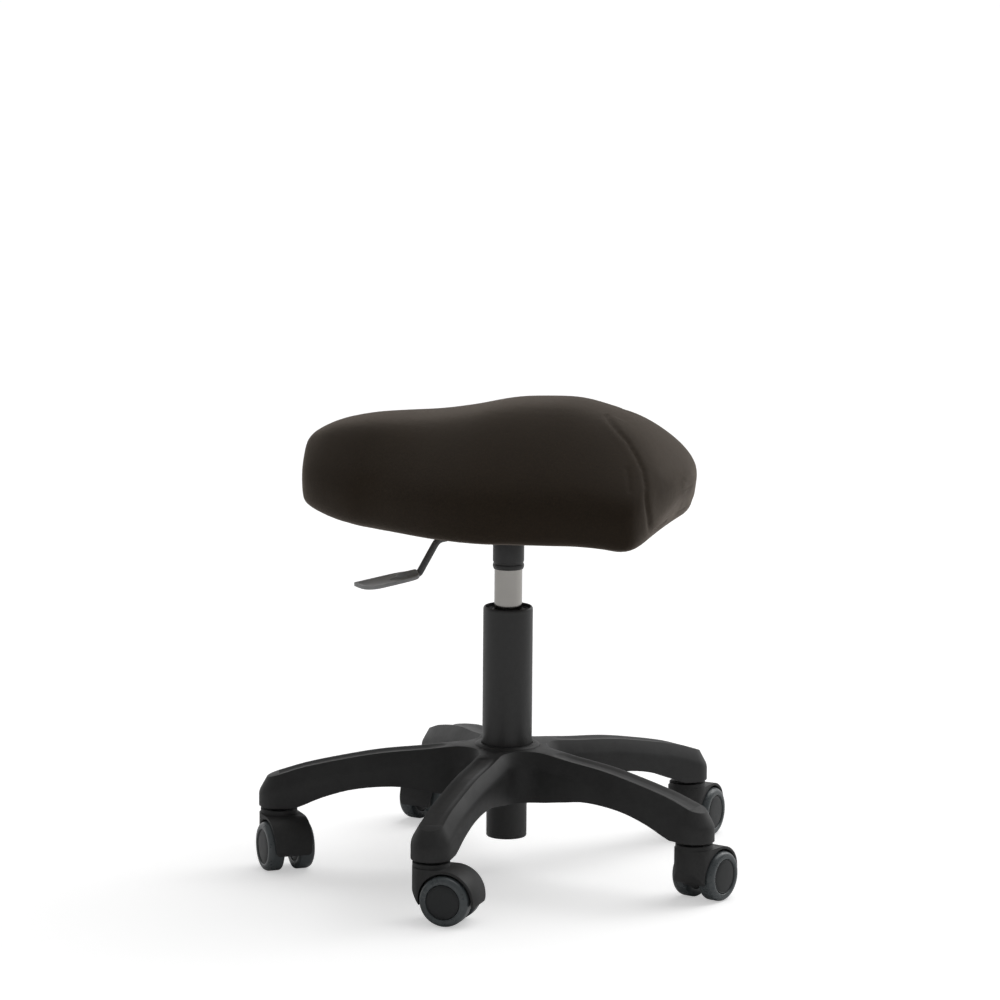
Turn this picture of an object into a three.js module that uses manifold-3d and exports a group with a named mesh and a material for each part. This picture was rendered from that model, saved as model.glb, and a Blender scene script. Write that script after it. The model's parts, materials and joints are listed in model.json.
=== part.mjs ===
// Saddle stool: a five-arm castor base, a gas column, a pressed seat plate with a release lever,
// and a padded saddle seat on a plywood board.
// Millimetres, +Z up. The origin lies on the floor, on the axis of the column.
import * as THREE from "three";
import { mergeVertices } from "three/addons/utils/BufferGeometryUtils.js";
import Module from "manifold-3d";

const wasm = await Module();
wasm.setup();

// Shared values
const clearance = 0.3;
const holeClearance = 0.6;
const cutOverrun = 4;
const roundSides = 24;
const wheelSides = 20;
const smallSides = 12;
const filletSteps = 3;
const bossSteps = 4;
const hoodSteps = 7;
const planSteps = 8;
const tipSteps = 4;
const halfTurn = Math.PI;
const quarterTurn = Math.PI / 2;
const fullTurn = 2 * Math.PI;
const degree = Math.PI / 180;

// Castors
const wheelRadius = 25;
const wheelInnerFace = 8.3;
const wheelOuterFace = 24.5;
const capRadius = 17;
const capEdgeDepth = 1.6;
const capDomeShare = 0.55;
const treadFlatShare = 0.6;
// The tread's rounded shoulder: shares of the width past the flat, and of the rise from cap to tread
const treadShoulderShares = [[0.55, 0.82], [0.9, 0.42]];
const axleRadius = 3;
const axleHalfLength = 19.7;
const axleBoreDepth = 20;
const castorTrail = 20;
const neckRadius = 18.5;
const neckGap = 3;
const hoodGap = 2.2;
const hoodWall = 2.6;
const hoodHalfWidth = 20;
const hoodLowHalfWidth = 17;
const hoodTaperTop = 45;
const hoodTaperBottom = 11;
const hoodEdge = 20;
const lobeTop = 36;
const lobeBottom = 15;
const lobeDepth = 21.5;
// The front of the housing below its neck: shares of the lobe's depth and of its height
const lobeShares = [
  [0, 0], [0.03, 0.12], [0.15, 0.286], [0.44, 0.667], [0.62, 0.876], [0.79, 0.97], [1, 1],
];
const webHalfThickness = 7.8;
const axleBossRadius = 9;
const stemRadius = 5.5;
const stemCollarRadius = 8;
const stemInBase = 23.7;
const stemInCastor = 22.7;
const castorNames = ["a", "b", "c", "d", "e"];
const armCount = castorNames.length;
const castorHeadings = [-69, -18.7, 54, 63, 238].map((angle) => angle * degree);

// Star base
const firstArmAngle = 179.6 * degree;
const stemCircleRadius = 230;
const bossRadius = 20.25;
const bossBottom = 62;
const armHalfWidth = 19.5;
const armEdgeInset = 8;
const armEdgeDrop = 14;
const webFillet = 21;
const hubTop = 127;
const hubRingRadius = 33;
const hubRingHeight = 2.2;
const pocketWall = 4;
const pocketRoof = 9;
const pocketCeilingInset = 7.5;
// Along an arm, as shares of the stem circle's radius; heights as shares of the rise from boss to hub
const armTopShares = [
  [0, 1], [0.2, 1], [0.365, 0.938], [0.548, 0.877], [0.7, 0.785], [0.883, 0.646], [1, 0.515], [1.06, 0.446],
];
const armUnderShares = [
  [0, 0.231], [0.21, 0.231], [0.365, 0.31], [0.483, 0.369], [0.665, 0.323], [0.809, 0.185], [0.92, 0.015],
  [1, 0],
];
const armStationShares = [0.365, 0.483, 0.58, 0.665, 0.74, 0.809, 0.87, 0.93];
const pocketShares = [[0.36, 0.5], [0.525, 0.66], [0.685, 0.8]];

// Column and gas spring
const columnRadius = 25;
const columnWall = 2;
const columnTop = 269;
const columnRim = 1.6;
const columnTaperTop = 112;
const columnTaperBottom = 84;
const columnLowRadius = 19.9;
const columnBottom = 35;
const footDepth = 6;
const endPlateThickness = 3;
const rodRadius = 5;
const rodHole = 5.6;
const clipThickness = 2.2;
const clipRadius = 9;
const rodEnd = 1.5;
const raceRadius = 12;
const raceThickness = 2;
const cageThickness = 4;
const bumperRadius = 11;
const bumperHeight = 16.5;
const cylinderRadius = 14;
const cylinderWall = 1.5;
const cylinderTipRadius = 13.2;
const cylinderTaper = 33;
const cylinderHeadThickness = 19;
const guideInset = 1;
const guideHeight = 13;
const stroke = 130;
const strokeMargin = 1;
const pistonHeight = 12;
const pistonGroove = 1.5;
const bushHeight = 77;
const bushDepth = 3;
const shownTube = 38.5;

// Seat carrier
const seatTurn = -15 * degree;
const plateTurn = 45 * degree;
const socketWall = 1.45;
const socketHeight = 32.2;
const socketChamfer = 0.9;
const socketChamferHeight = 3;
const socketGroove = 0.6;
const socketGrooveBase = 4.7;
const socketGrooveHeight = 3;
const plateThickness = 2.5;
const panHalfLength = 38;
const panHalfWidth = 34;
const panDepth = 16.2;
// The flange's half-length and half-width, as shares of the seat board's half-width
const flangeLengthShare = 0.65;
const flangeWidthShare = 0.57;
const tubeEntry = 1;
const buttonRadius = 3.6;
const buttonBore = 4.2;
const buttonHeight = 19;
const buttonStandUp = 4;
const screwHeadRadius = 6;
const screwHeadHeight = 3.3;
const screwRadius = 3;
const screwLength = 11.1;
// How far the screws stand in from the flange's ends and from its sides
const screwEndInset = 13;
const screwSideInset = 12;

// Release lever, along the plate's long axis from the column's axis
const leverRodRadius = 3.5;
const leverSides = 8;
const leverSteps = 60;
const leverReach = 3;
const pivotOffset = 26;
const pivotRise = 6;
const pivotPinRadius = 3;
const pivotPinHalfLength = 13;
const barrelRadius = 5.5;
const barrelHalfLength = 8.5;
const earInner = 9.2;
const earOuter = 12;
const earHalfLength = 6;
const earHeight = 10.5;
const slotHalfWidth = 6;
const kneeOffset = 81.5;
const kneeDrop = 5;
const elbowOffset = 102.5;
const elbowDrop = 37.3;
const bendLength = 2.5;
const gripReach = 17;
const paddleSlope = 6.8 * degree;
const paddleLength = 62.8;
const paddleHalfWidth = 16;
// The paddle's flank: shares of its length and of its half-width
const paddleFlankShares = [[0, 0.36], [0.05, 0.66], [0.12, 0.86], [0.22, 0.96], [0.36, 1]];
const paddleThickness = 3.4;
const paddleTop = 1.8;
// The paddle's two tip corners: the tight one and the wide one
const paddleTightRadius = 1.5;
const paddleWideRadius = 14;
const paddleBossRadius = 5.2;
const paddleBossLength = 22;

// Seat
const boardThickness = 10;
const boardInset = 25;
const boardHoleDepth = 8.6;
// How far the board stays from the seat's ends, and its least half-width, as shares of its inset
const boardNoseShare = 1.6;
const boardTailShare = 1.4;
const boardEndShare = 0.5;
const seatNose = 212;
const seatTail = 185.5;
const seatHalfWidth = 137;
const seatDrop = 3.5;
const seatRise = 127;
// Cross sections: place along the seat from the column's axis (a share of the nose or tail length),
// half-widths at the bottom and at the widest level (shares of the seat's half-width), then the heights
// of the bottom, the widest level and the ridge (shares of the seat's rise)
const seatSectionShares = [
  [-1, 0.08, 0.13, 0.17, 0.35, 0.5],
  [-0.983, 0.17, 0.23, 0.14, 0.35, 0.59],
  [-0.938, 0.24, 0.34, 0.125, 0.34, 0.665],
  [-0.837, 0.365, 0.482, 0.085, 0.31, 0.758],
  [-0.694, 0.482, 0.613, 0.047, 0.28, 0.822],
  [-0.541, 0.584, 0.708, 0.024, 0.265, 0.856],
  [-0.368, 0.73, 0.825, 0.01, 0.26, 0.878],
  [-0.196, 0.847, 0.927, 0.004, 0.26, 0.92],
  [0, 0.925, 0.99, 0.004, 0.26, 0.984],
  [0.213, 0.905, 0.98, 0.008, 0.26, 1.012],
  [0.372, 0.89, 0.965, 0.012, 0.265, 1.012],
  [0.532, 0.873, 0.95, 0.016, 0.27, 0.968],
  [0.69, 0.866, 0.935, 0.02, 0.28, 0.9],
  [0.782, 0.859, 0.922, 0.028, 0.285, 0.828],
  [0.851, 0.81, 0.885, 0.055, 0.3, 0.752],
  [0.904, 0.68, 0.78, 0.11, 0.31, 0.665],
  [0.947, 0.53, 0.635, 0.18, 0.33, 0.58],
  [0.979, 0.34, 0.43, 0.25, 0.35, 0.49],
  [1, 0.1, 0.17, 0.31, 0.36, 0.41],
];
const seatCrownPower = 1.7;
const seatUnderPower = 2;
const seatCrownSteps = 9;
const seatUnderSteps = 4;

// Sizes and heights that follow from those above
const boardHalfWidth = seatHalfWidth - boardInset;
const flangeHalfLength = boardHalfWidth * flangeLengthShare;
const flangeHalfWidth = boardHalfWidth * flangeWidthShare;
const screwAlong = flangeHalfLength - screwEndInset;
const screwAcross = flangeHalfWidth - screwSideInset;
const neckTop = bossBottom - neckGap;
const endPlateBottom = columnBottom + footDepth;
const endPlateTop = endPlateBottom + endPlateThickness;
const lowerRaceBottom = endPlateTop + clearance;
const cageBottom = lowerRaceBottom + raceThickness + clearance;
const upperRaceBottom = cageBottom + cageThickness + clearance;
const bumperBottom = upperRaceBottom + raceThickness + clearance;
const cylinderBottom = bumperBottom + bumperHeight + clearance;
const guideBottom = cylinderBottom + guideInset;
const guideTop = guideBottom + guideHeight;
const pistonBottom = guideTop + stroke + strokeMargin;
const clipTop = endPlateBottom - clearance;
const rodBottom = clipTop - clipThickness - rodEnd;
const socketBottom = columnTop + shownTube;
const plateBottom = socketBottom + socketHeight + clearance;
const plateFloor = plateBottom + plateThickness;
const plateTop = plateBottom + panDepth;
const flangeBottom = plateTop - plateThickness;
const cylinderTop = plateBottom + tubeEntry;
const buttonTop = cylinderTop + buttonStandUp;
const pivotHeight = plateFloor + pivotRise;
const boardBottom = plateTop + clearance;
const seatBottom = boardBottom - seatDrop;

// A lathe about Z, from [radius, height] points that run up the outside and down the inside
function turned(points, sides = roundSides, start = 0) {
  const profile = points.map(([radius, height]) => new THREE.Vector2(radius, height));
  const first = profile[0];
  const last = profile[profile.length - 1];
  const onAxis = first.x === 0 && last.x === 0;
  if (!onAxis) profile.push(first.clone());
  return new THREE.LatheGeometry(profile, sides, start, fullTurn).rotateX(quarterTurn);
}

// A plain ring or disc about Z
function ring(inner, outer, bottom, top, sides = roundSides) {
  return turned([[inner, bottom], [outer, bottom], [outer, top], [inner, top]], sides);
}

function disc(radius, bottom, top, sides = roundSides) {
  return turned([[0, bottom], [radius, bottom], [radius, top], [0, top]], sides);
}

// A block given by its two corners
function block(from, to) {
  const size = to.map((value, axis) => value - from[axis]);
  const middle = to.map((value, axis) => (value + from[axis]) / 2);
  return new THREE.BoxGeometry(...size).translate(...middle);
}

// A flat outline in XY, raised from one height to another
function prism(points, bottom, top) {
  const outline = new THREE.Shape(points.map(([x, y]) => new THREE.Vector2(x, y)));
  const depth = top - bottom;
  return new THREE.ExtrudeGeometry(outline, { depth, bevelEnabled: false }).translate(0, 0, bottom);
}

// A disc about an axis along Y, through the point (x, z)
function crossDisc(radius, x, z, from, to, sides = roundSides) {
  return disc(radius, from, to, sides)
    .rotateX(-quarterTurn)
    .translate(x, 0, z);
}

function solid(geometry) {
  const bare = geometry.clone();
  bare.deleteAttribute("normal");
  bare.deleteAttribute("uv");
  const merged = mergeVertices(bare);
  const vertProperties = merged.attributes.position.array;
  const triVerts = new Uint32Array(merged.index.array);
  return new wasm.Manifold(new wasm.Mesh({ numProp: 3, vertProperties, triVerts }));
}

function geometryOf(manifold) {
  const result = manifold.getMesh();
  const geometry = new THREE.BufferGeometry();
  geometry.setAttribute("position", new THREE.BufferAttribute(result.vertProperties, 3));
  geometry.setIndex(new THREE.BufferAttribute(result.triVerts, 1));
  const faceted = geometry.toNonIndexed();
  faceted.computeVertexNormals();
  return faceted;
}

function without(base, ...cuts) {
  let left = base;
  for (const cut of cuts) left = left.subtract(solid(cut));
  return left;
}

function joined(base, ...others) {
  let whole = base;
  for (const other of others) whole = whole.add(solid(other));
  return whole;
}

// A finish is its colour, roughness and metalness
const finishes = {
  blackNylon: [0x1f1f20, 0.5, 0],
  blackSteel: [0x1c1c1d, 0.45, 0.1],
  chrome: [0xb9b6b1, 0.25, 1],
  steel: [0x8d8d8f, 0.4, 1],
  brass: [0xb08d4f, 0.4, 1],
  rubber: [0x161616, 0.85, 0],
  greyTread: [0x5f6a6c, 0.6, 0],
  darkPlastic: [0x2a2c2e, 0.5, 0],
  greyPlastic: [0x55585c, 0.5, 0],
  plywood: [0xb08a5c, 0.75, 0],
  fabric: [0x1c1411, 0.95, 0],
};

function piece(name, geometry, finish, parent) {
  const [color, roughness, metalness] = finishes[finish];
  const material = new THREE.MeshStandardMaterial({ color, roughness, metalness });
  const mesh = new THREE.Mesh(geometry, material);
  mesh.name = name;
  parent.add(mesh);
  return mesh;
}

function armAngle(arm) {
  return firstArmAngle + (arm * fullTurn) / armCount;
}

// A height along an arm, from a table of shares
function armHeight(shares, reach) {
  const share = reach / stemCircleRadius;
  const last = shares[shares.length - 1];
  if (share >= last[0]) return bossBottom + last[1] * (hubTop - bossBottom);
  const next = shares.findIndex(([along]) => along > share);
  const [fromAlong, fromRise] = shares[next - 1];
  const [toAlong, toRise] = shares[next];
  const mix = (share - fromAlong) / (toAlong - fromAlong);
  return bossBottom + (fromRise + mix * (toRise - fromRise)) * (hubTop - bossBottom);
}

// One side of an arm in plan: the web's fillet, the straight flank, then the round end
function armSide(inset) {
  const sector = halfTurn / armCount;
  const centreReach = (armHalfWidth + webFillet) / Math.sin(sector);
  const centre = [centreReach * Math.cos(sector), armHalfWidth + webFillet];
  const filletRadius = webFillet + inset;
  const points = [];
  for (let step = 0; step <= filletSteps; step += 1) {
    const angle = halfTurn + sector + ((quarterTurn - sector) * step) / filletSteps;
    points.push([centre[0] + filletRadius * Math.cos(angle), centre[1] + filletRadius * Math.sin(angle)]);
  }
  for (const share of armStationShares) {
    points.push([share * stemCircleRadius, armHalfWidth - inset]);
  }
  for (let step = 0; step <= bossSteps; step += 1) {
    const angle = quarterTurn * (1 - step / bossSteps);
    const radius = bossRadius - inset;
    points.push([stemCircleRadius + radius * Math.cos(angle), radius * Math.sin(angle)]);
  }
  return points;
}

// The five arms and their webs as one skin: an underside ring, a shoulder ring and a top ring
function starSkin() {
  const low = armSide(0);
  const high = armSide(armEdgeInset);
  const half = low.length;
  const perArm = 2 * half - 2;
  const around = armCount * perArm;
  const position = [];
  const index = [];
  const place = (arm, along, across, height) => {
    const angle = armAngle(arm);
    position.push(
      along * Math.cos(angle) - across * Math.sin(angle),
      along * Math.sin(angle) + across * Math.cos(angle),
      height,
    );
  };
  const addRing = (side, heightAt) => {
    for (let arm = 0; arm < armCount; arm += 1) {
      for (let step = 0; step < perArm; step += 1) {
        const near = step < half ? step : perArm - step;
        const across = step < half ? -side[near][1] : side[near][1];
        place(arm, side[near][0], across, heightAt(side[near]));
      }
    }
  };
  addRing(low, ([along]) => armHeight(armUnderShares, along));
  addRing(low, ([along]) => armHeight(armTopShares, along) - armEdgeDrop);
  addRing(high, ([along]) => armHeight(armTopShares, along));
  place(0, 0, 0, armHeight(armUnderShares, 0));
  place(0, 0, 0, hubTop);
  const underCentre = 3 * around;
  const topCentre = underCentre + 1;
  const quad = (a, b, c, d) => index.push(a, b, c, a, c, d);
  for (let level = 0; level < 2; level += 1) {
    for (let step = 0; step < around; step += 1) {
      const next = (step + 1) % around;
      const from = level * around;
      quad(from + step, from + next, from + around + next, from + around + step);
    }
  }
  for (let arm = 0; arm < armCount; arm += 1) {
    const start = arm * perArm;
    const at = (step) => (start + step) % around;
    const top = 2 * around;
    for (let step = 0; step < filletSteps; step += 1) {
      const mirror = perArm - step;
      index.push(topCentre, top + at(step), top + at(step + 1));
      index.push(topCentre, top + at(mirror - 1), top + at(mirror));
      index.push(underCentre, at(step + 1), at(step));
      index.push(underCentre, at(mirror), at(mirror - 1));
    }
    index.push(topCentre, top + at(filletSteps), top + at(perArm - filletSteps));
    index.push(underCentre, at(perArm - filletSteps), at(filletSteps));
    for (let step = filletSteps; step < half - 2; step += 1) {
      const mirror = perArm - step;
      quad(top + at(step), top + at(step + 1), top + at(mirror - 1), top + at(mirror));
      quad(at(mirror), at(mirror - 1), at(step + 1), at(step));
    }
    const tip = half - 1;
    index.push(top + at(tip - 1), top + at(tip), top + at(tip + 1));
    index.push(at(tip + 1), at(tip), at(tip - 1));
  }
  const skin = new THREE.BufferGeometry();
  skin.setAttribute("position", new THREE.Float32BufferAttribute(position, 3));
  skin.setIndex(index);
  return skin;
}

// An open pocket under an arm, between two cross ribs
function pocket([fromShare, toShare]) {
  const from = fromShare * stemCircleRadius;
  const to = toShare * stemCircleRadius;
  const low = armHalfWidth - pocketWall;
  const high = armHalfWidth - pocketCeilingInset;
  const position = [];
  for (const reach of [from, to]) {
    const floor = armHeight(armUnderShares, reach) - cutOverrun;
    const roof = Math.min(armHeight(armTopShares, reach), armHeight(armTopShares, from)) - pocketRoof;
    position.push(reach, -low, floor, reach, low, floor, reach, high, roof, reach, -high, roof);
  }
  const hexahedron = new THREE.BufferGeometry();
  hexahedron.setAttribute("position", new THREE.Float32BufferAttribute(position, 3));
  const faces = [0, 3, 2, 0, 2, 1, 4, 5, 6, 4, 6, 7, 0, 1, 5, 0, 5, 4, 1, 2, 6, 1, 6, 5];
  hexahedron.setIndex([...faces, 2, 3, 7, 2, 7, 6, 3, 0, 4, 3, 4, 7]);
  return hexahedron;
}

function starBase() {
  const raised = turned([
    [0, hubTop - armEdgeDrop],
    [hubRingRadius, hubTop - armEdgeDrop],
    [hubRingRadius, hubTop + hubRingHeight / 2],
    [hubRingRadius - hubRingHeight / 2, hubTop + hubRingHeight],
    [0, hubTop + hubRingHeight],
  ]);
  const bore = turned([
    [0, columnBottom],
    [columnLowRadius + clearance, columnBottom],
    [columnLowRadius + clearance, columnTaperBottom],
    [columnRadius + clearance, columnTaperTop],
    [columnRadius + clearance, columnTop],
    [0, columnTop],
  ]);
  const cuts = [bore];
  for (let arm = 0; arm < armCount; arm += 1) {
    const angle = armAngle(arm);
    const socketTop = bossBottom + stemInBase + clearance;
    const socket = disc(stemRadius + clearance, bossBottom - cutOverrun, socketTop, smallSides);
    cuts.push(socket.translate(stemCircleRadius, 0, 0).rotateZ(angle));
    for (const shares of pocketShares) cuts.push(pocket(shares).rotateZ(angle));
  }
  return without(joined(solid(starSkin()), raised), ...cuts);
}

function outerColumn() {
  const innerLow = columnLowRadius - columnWall;
  const innerHigh = columnRadius - columnWall;
  return turned([
    [innerLow, columnBottom],
    [columnLowRadius, columnBottom],
    [columnLowRadius, columnTaperBottom],
    [columnRadius, columnTaperTop],
    [columnRadius, columnTop - columnRim],
    [columnRadius - columnRim / 2, columnTop - columnRim / 4],
    [columnRadius - columnRim, columnTop],
    [innerHigh, columnTop],
    [innerHigh, columnTaperTop],
    [innerLow, columnTaperBottom],
    [innerLow, endPlateTop],
    [rodHole, endPlateTop],
    [rodHole, endPlateBottom],
    [innerLow, endPlateBottom],
  ]);
}

function gasCylinder() {
  const inner = cylinderRadius - cylinderWall;
  const headBottom = cylinderTop - cylinderHeadThickness;
  return turned([
    [inner, cylinderBottom],
    [cylinderRadius, cylinderBottom],
    [cylinderRadius, cylinderTop - cylinderTaper],
    [cylinderTipRadius, cylinderTop],
    [buttonBore, cylinderTop],
    [buttonBore, headBottom],
    [inner, headBottom],
  ]);
}

function piston() {
  const radius = cylinderRadius - cylinderWall - clearance;
  return turned([
    [0, pistonBottom],
    [radius, pistonBottom],
    [radius, pistonBottom + pistonHeight / 3],
    [radius - pistonGroove, pistonBottom + pistonHeight / 3],
    [radius - pistonGroove, pistonBottom + (2 * pistonHeight) / 3],
    [radius, pistonBottom + (2 * pistonHeight) / 3],
    [radius, pistonBottom + pistonHeight],
    [0, pistonBottom + pistonHeight],
  ]);
}

function coneSocket() {
  const inner = cylinderRadius + clearance;
  const outer = inner + socketWall;
  const grooveBottom = socketBottom + socketGrooveBase;
  const grooveTop = grooveBottom + socketGrooveHeight;
  return turned([
    [inner, socketBottom],
    [outer - socketChamfer, socketBottom],
    [outer, socketBottom + socketChamferHeight],
    [outer, grooveBottom],
    [outer - socketGroove, grooveBottom],
    [outer - socketGroove, grooveTop],
    [outer, grooveTop],
    [outer, socketBottom + socketHeight],
    [inner, socketBottom + socketHeight],
  ]);
}

function seatPlate() {
  const inLength = panHalfLength - plateThickness;
  const inWidth = panHalfWidth - plateThickness;
  const flangeFrom = [-flangeHalfLength, -flangeHalfWidth, flangeBottom];
  const flangeTo = [flangeHalfLength, flangeHalfWidth, plateTop];
  const pan = block([-panHalfLength, -panHalfWidth, plateBottom], [panHalfLength, panHalfWidth, plateTop]);
  const hollowFrom = [-inLength, -inWidth, plateFloor];
  const hollowTo = [inLength, inWidth, plateTop + cutOverrun];
  const slotFrom = [-panHalfLength - cutOverrun, -slotHalfWidth, plateFloor];
  const slotTo = [-inLength + cutOverrun, slotHalfWidth, flangeBottom];
  const cylinderHoleRadius = cylinderRadius + holeClearance;
  const cylinderHole = disc(cylinderHoleRadius, plateBottom - cutOverrun, plateFloor + cutOverrun);
  let plate = joined(solid(pan), block(flangeFrom, flangeTo));
  plate = without(plate, block(hollowFrom, hollowTo), block(slotFrom, slotTo), cylinderHole);
  for (const side of [-1, 1]) {
    const near = Math.min(side * earInner, side * earOuter);
    const far = Math.max(side * earInner, side * earOuter);
    const earFrom = [-pivotOffset - earHalfLength, near, plateFloor - plateThickness / 2];
    plate = joined(plate, block(earFrom, [-pivotOffset + earHalfLength, far, plateFloor + earHeight]));
  }
  const pinHole = pivotPinRadius + clearance;
  const pinReach = earOuter + clearance;
  const holes = [crossDisc(pinHole, -pivotOffset, pivotHeight, -pinReach, pinReach, smallSides)];
  for (const [along, across] of screwPlaces()) {
    const holeRadius = screwRadius + clearance;
    const hole = disc(holeRadius, flangeBottom - cutOverrun, plateTop + cutOverrun, smallSides);
    holes.push(hole.translate(along, across, 0));
  }
  return without(plate, ...holes);
}

function screwPlaces() {
  return [
    [-screwAlong, -screwAcross],
    [-screwAlong, screwAcross],
    [screwAlong, -screwAcross],
    [screwAlong, screwAcross],
  ];
}

function seatScrew(along, across) {
  const headTop = flangeBottom - clearance;
  const screw = turned(
    [
      [0, headTop - screwHeadHeight],
      [screwHeadRadius, headTop - screwHeadHeight],
      [screwHeadRadius, headTop],
      [screwRadius, headTop],
      [screwRadius, headTop + screwLength],
      [0, headTop + screwLength],
    ],
    smallSides,
  );
  return screw.translate(along, across, 0);
}

// The direction in which the lever's last run and its paddle point
const gripAlong = -Math.cos(paddleSlope);
const gripDown = -Math.sin(paddleSlope);

function releaseLever() {
  const rise = pivotHeight + clearance;
  const elbow = new THREE.Vector3(-elbowOffset, 0, pivotHeight - elbowDrop);
  const knee = new THREE.Vector3(-kneeOffset, 0, pivotHeight - kneeDrop);
  const pivot = new THREE.Vector3(-pivotOffset, 0, pivotHeight);
  const inner = new THREE.Vector3(leverReach, 0, rise);
  const grip = elbow.clone().add(new THREE.Vector3(gripAlong * gripReach, 0, gripDown * gripReach));
  const path = new THREE.CurvePath();
  const toward = (from, to) => from.clone().add(to.clone().sub(from).setLength(bendLength));
  const kneeIn = toward(knee, pivot);
  const kneeOut = toward(knee, elbow);
  const elbowIn = toward(elbow, knee);
  const elbowOut = toward(elbow, grip);
  path.add(new THREE.LineCurve3(inner, pivot));
  path.add(new THREE.LineCurve3(pivot, kneeIn));
  path.add(new THREE.QuadraticBezierCurve3(kneeIn, knee, kneeOut));
  path.add(new THREE.LineCurve3(kneeOut, elbowIn));
  path.add(new THREE.QuadraticBezierCurve3(elbowIn, elbow, elbowOut));
  path.add(new THREE.LineCurve3(elbowOut, grip));
  const section = new THREE.Shape();
  for (let side = 0; side < leverSides; side += 1) {
    const angle = (side * fullTurn) / leverSides;
    const point = [leverRodRadius * Math.cos(angle), leverRodRadius * Math.sin(angle)];
    if (side === 0) section.moveTo(...point);
    else section.lineTo(...point);
  }
  section.closePath();
  const options = { steps: leverSteps, bevelEnabled: false, extrudePath: path };
  const rod = new THREE.ExtrudeGeometry(section, options);
  const barrelSpan = [-barrelHalfLength, barrelHalfLength, roundSides];
  const barrel = crossDisc(barrelRadius, -pivotOffset, pivotHeight, ...barrelSpan);
  const bore = pivotPinRadius + clearance;
  const reach = barrelHalfLength + cutOverrun;
  const whole = joined(solid(rod), barrel);
  return without(whole, crossDisc(bore, -pivotOffset, pivotHeight, -reach, reach, smallSides));
}

// The paddle is drawn flat, pointing along +X from its boss, then turned to its place
function leverPaddle() {
  const half = paddleHalfWidth;
  const tip = paddleLength;
  function flank(corner) {
    const points = paddleFlankShares.map(([along, across]) => [tip * along, half * across]);
    for (let step = 0; step <= tipSteps; step += 1) {
      const angle = quarterTurn * (step / tipSteps);
      const across = half - corner + corner * Math.cos(angle);
      points.push([tip - corner + corner * Math.sin(angle), across]);
    }
    return points;
  }
  const upper = flank(paddleWideRadius);
  const lower = flank(paddleTightRadius).map(([along, across]) => [along, -across]);
  const blade = prism([...lower.reverse(), ...upper], paddleTop - paddleThickness, paddleTop);
  const boss = disc(paddleBossRadius, 0, paddleBossLength, roundSides).rotateY(quarterTurn);
  const bore = disc(leverRodRadius + clearance, -cutOverrun, gripReach - bendLength, smallSides);
  let paddle = joined(solid(blade), boss);
  paddle = without(paddle, bore.rotateY(quarterTurn));
  const geometry = geometryOf(paddle);
  geometry.rotateY(paddleSlope);
  geometry.rotateZ(halfTurn);
  const start = bendLength + clearance;
  const along = -elbowOffset + gripAlong * start;
  return geometry.translate(along, 0, pivotHeight - elbowDrop + gripDown * start);
}

function sectionPlace(share) {
  return share < 0 ? share * seatNose : share * seatTail;
}

// The board follows the seat's underside, drawn in all round
function boardOutline(inset) {
  const side = [];
  for (const [share, lowShare] of seatSectionShares) {
    const along = sectionPlace(share);
    const across = lowShare * seatHalfWidth - inset;
    const inNose = along > -seatNose + inset * boardNoseShare;
    const inTail = along < seatTail - inset * boardTailShare;
    if (across > inset * boardEndShare && inNose && inTail) side.push([along, across]);
  }
  const mirrored = side.map(([along, across]) => [along, -across]);
  return [...mirrored, ...side.reverse()];
}

function seatBoard() {
  const board = prism(boardOutline(boardInset), boardBottom, boardBottom + boardThickness);
  const holeTop = boardBottom + boardHoleDepth;
  const holes = screwPlaces().map(([along, across]) => {
    const hole = disc(screwRadius + clearance, boardBottom - cutOverrun, holeTop, smallSides);
    return hole.translate(along, across, 0).rotateZ(plateTurn);
  });
  return without(solid(board), ...holes);
}

// Half of a cross section, from the middle of the underside round to the ridge
function cushionSection([share, lowShare, wideShare, underShare, wideRise, ridgeRise]) {
  const low = lowShare * seatHalfWidth;
  const wide = wideShare * seatHalfWidth;
  const under = seatBottom + underShare * seatRise;
  const level = seatBottom + wideRise * seatRise;
  const ridge = seatBottom + ridgeRise * seatRise;
  const points = [[0, under]];
  for (let step = 0; step < seatUnderSteps; step += 1) {
    const angle = quarterTurn * (step / seatUnderSteps);
    const out = Math.sin(angle) ** (2 / seatUnderPower);
    const down = Math.cos(angle) ** (2 / seatUnderPower);
    points.push([low + (wide - low) * out, level - (level - under) * down]);
  }
  for (let step = 0; step <= seatCrownSteps; step += 1) {
    const angle = quarterTurn * (step / seatCrownSteps);
    const out = Math.cos(angle) ** (2 / seatCrownPower);
    const up = Math.sin(angle) ** (2 / seatCrownPower);
    points.push([step === seatCrownSteps ? 0 : wide * out, level + (ridge - level) * up]);
  }
  return points.map(([across, height]) => [sectionPlace(share), across, height]);
}

function cushionSkin() {
  const sections = seatSectionShares.map(cushionSection);
  const half = sections[0].length;
  const perSection = 2 * half - 2;
  const position = [];
  const index = [];
  for (const section of sections) {
    for (let step = 0; step < perSection; step += 1) {
      const mirrored = step >= half;
      const [along, across, height] = section[mirrored ? perSection - step : step];
      position.push(along, mirrored ? -across : across, height);
    }
  }
  for (let row = 0; row < sections.length - 1; row += 1) {
    for (let step = 0; step < perSection; step += 1) {
      const a = row * perSection + step;
      const b = row * perSection + ((step + 1) % perSection);
      index.push(a, b, a + perSection, b, b + perSection, a + perSection);
    }
  }
  const lastRow = (sections.length - 1) * perSection;
  for (let step = 1; step < perSection - 1; step += 1) {
    index.push(0, step + 1, step);
    index.push(lastRow, lastRow + step, lastRow + step + 1);
  }
  const skin = new THREE.BufferGeometry();
  skin.setAttribute("position", new THREE.Float32BufferAttribute(position, 3));
  skin.setIndex(index);
  return skin;
}

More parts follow.
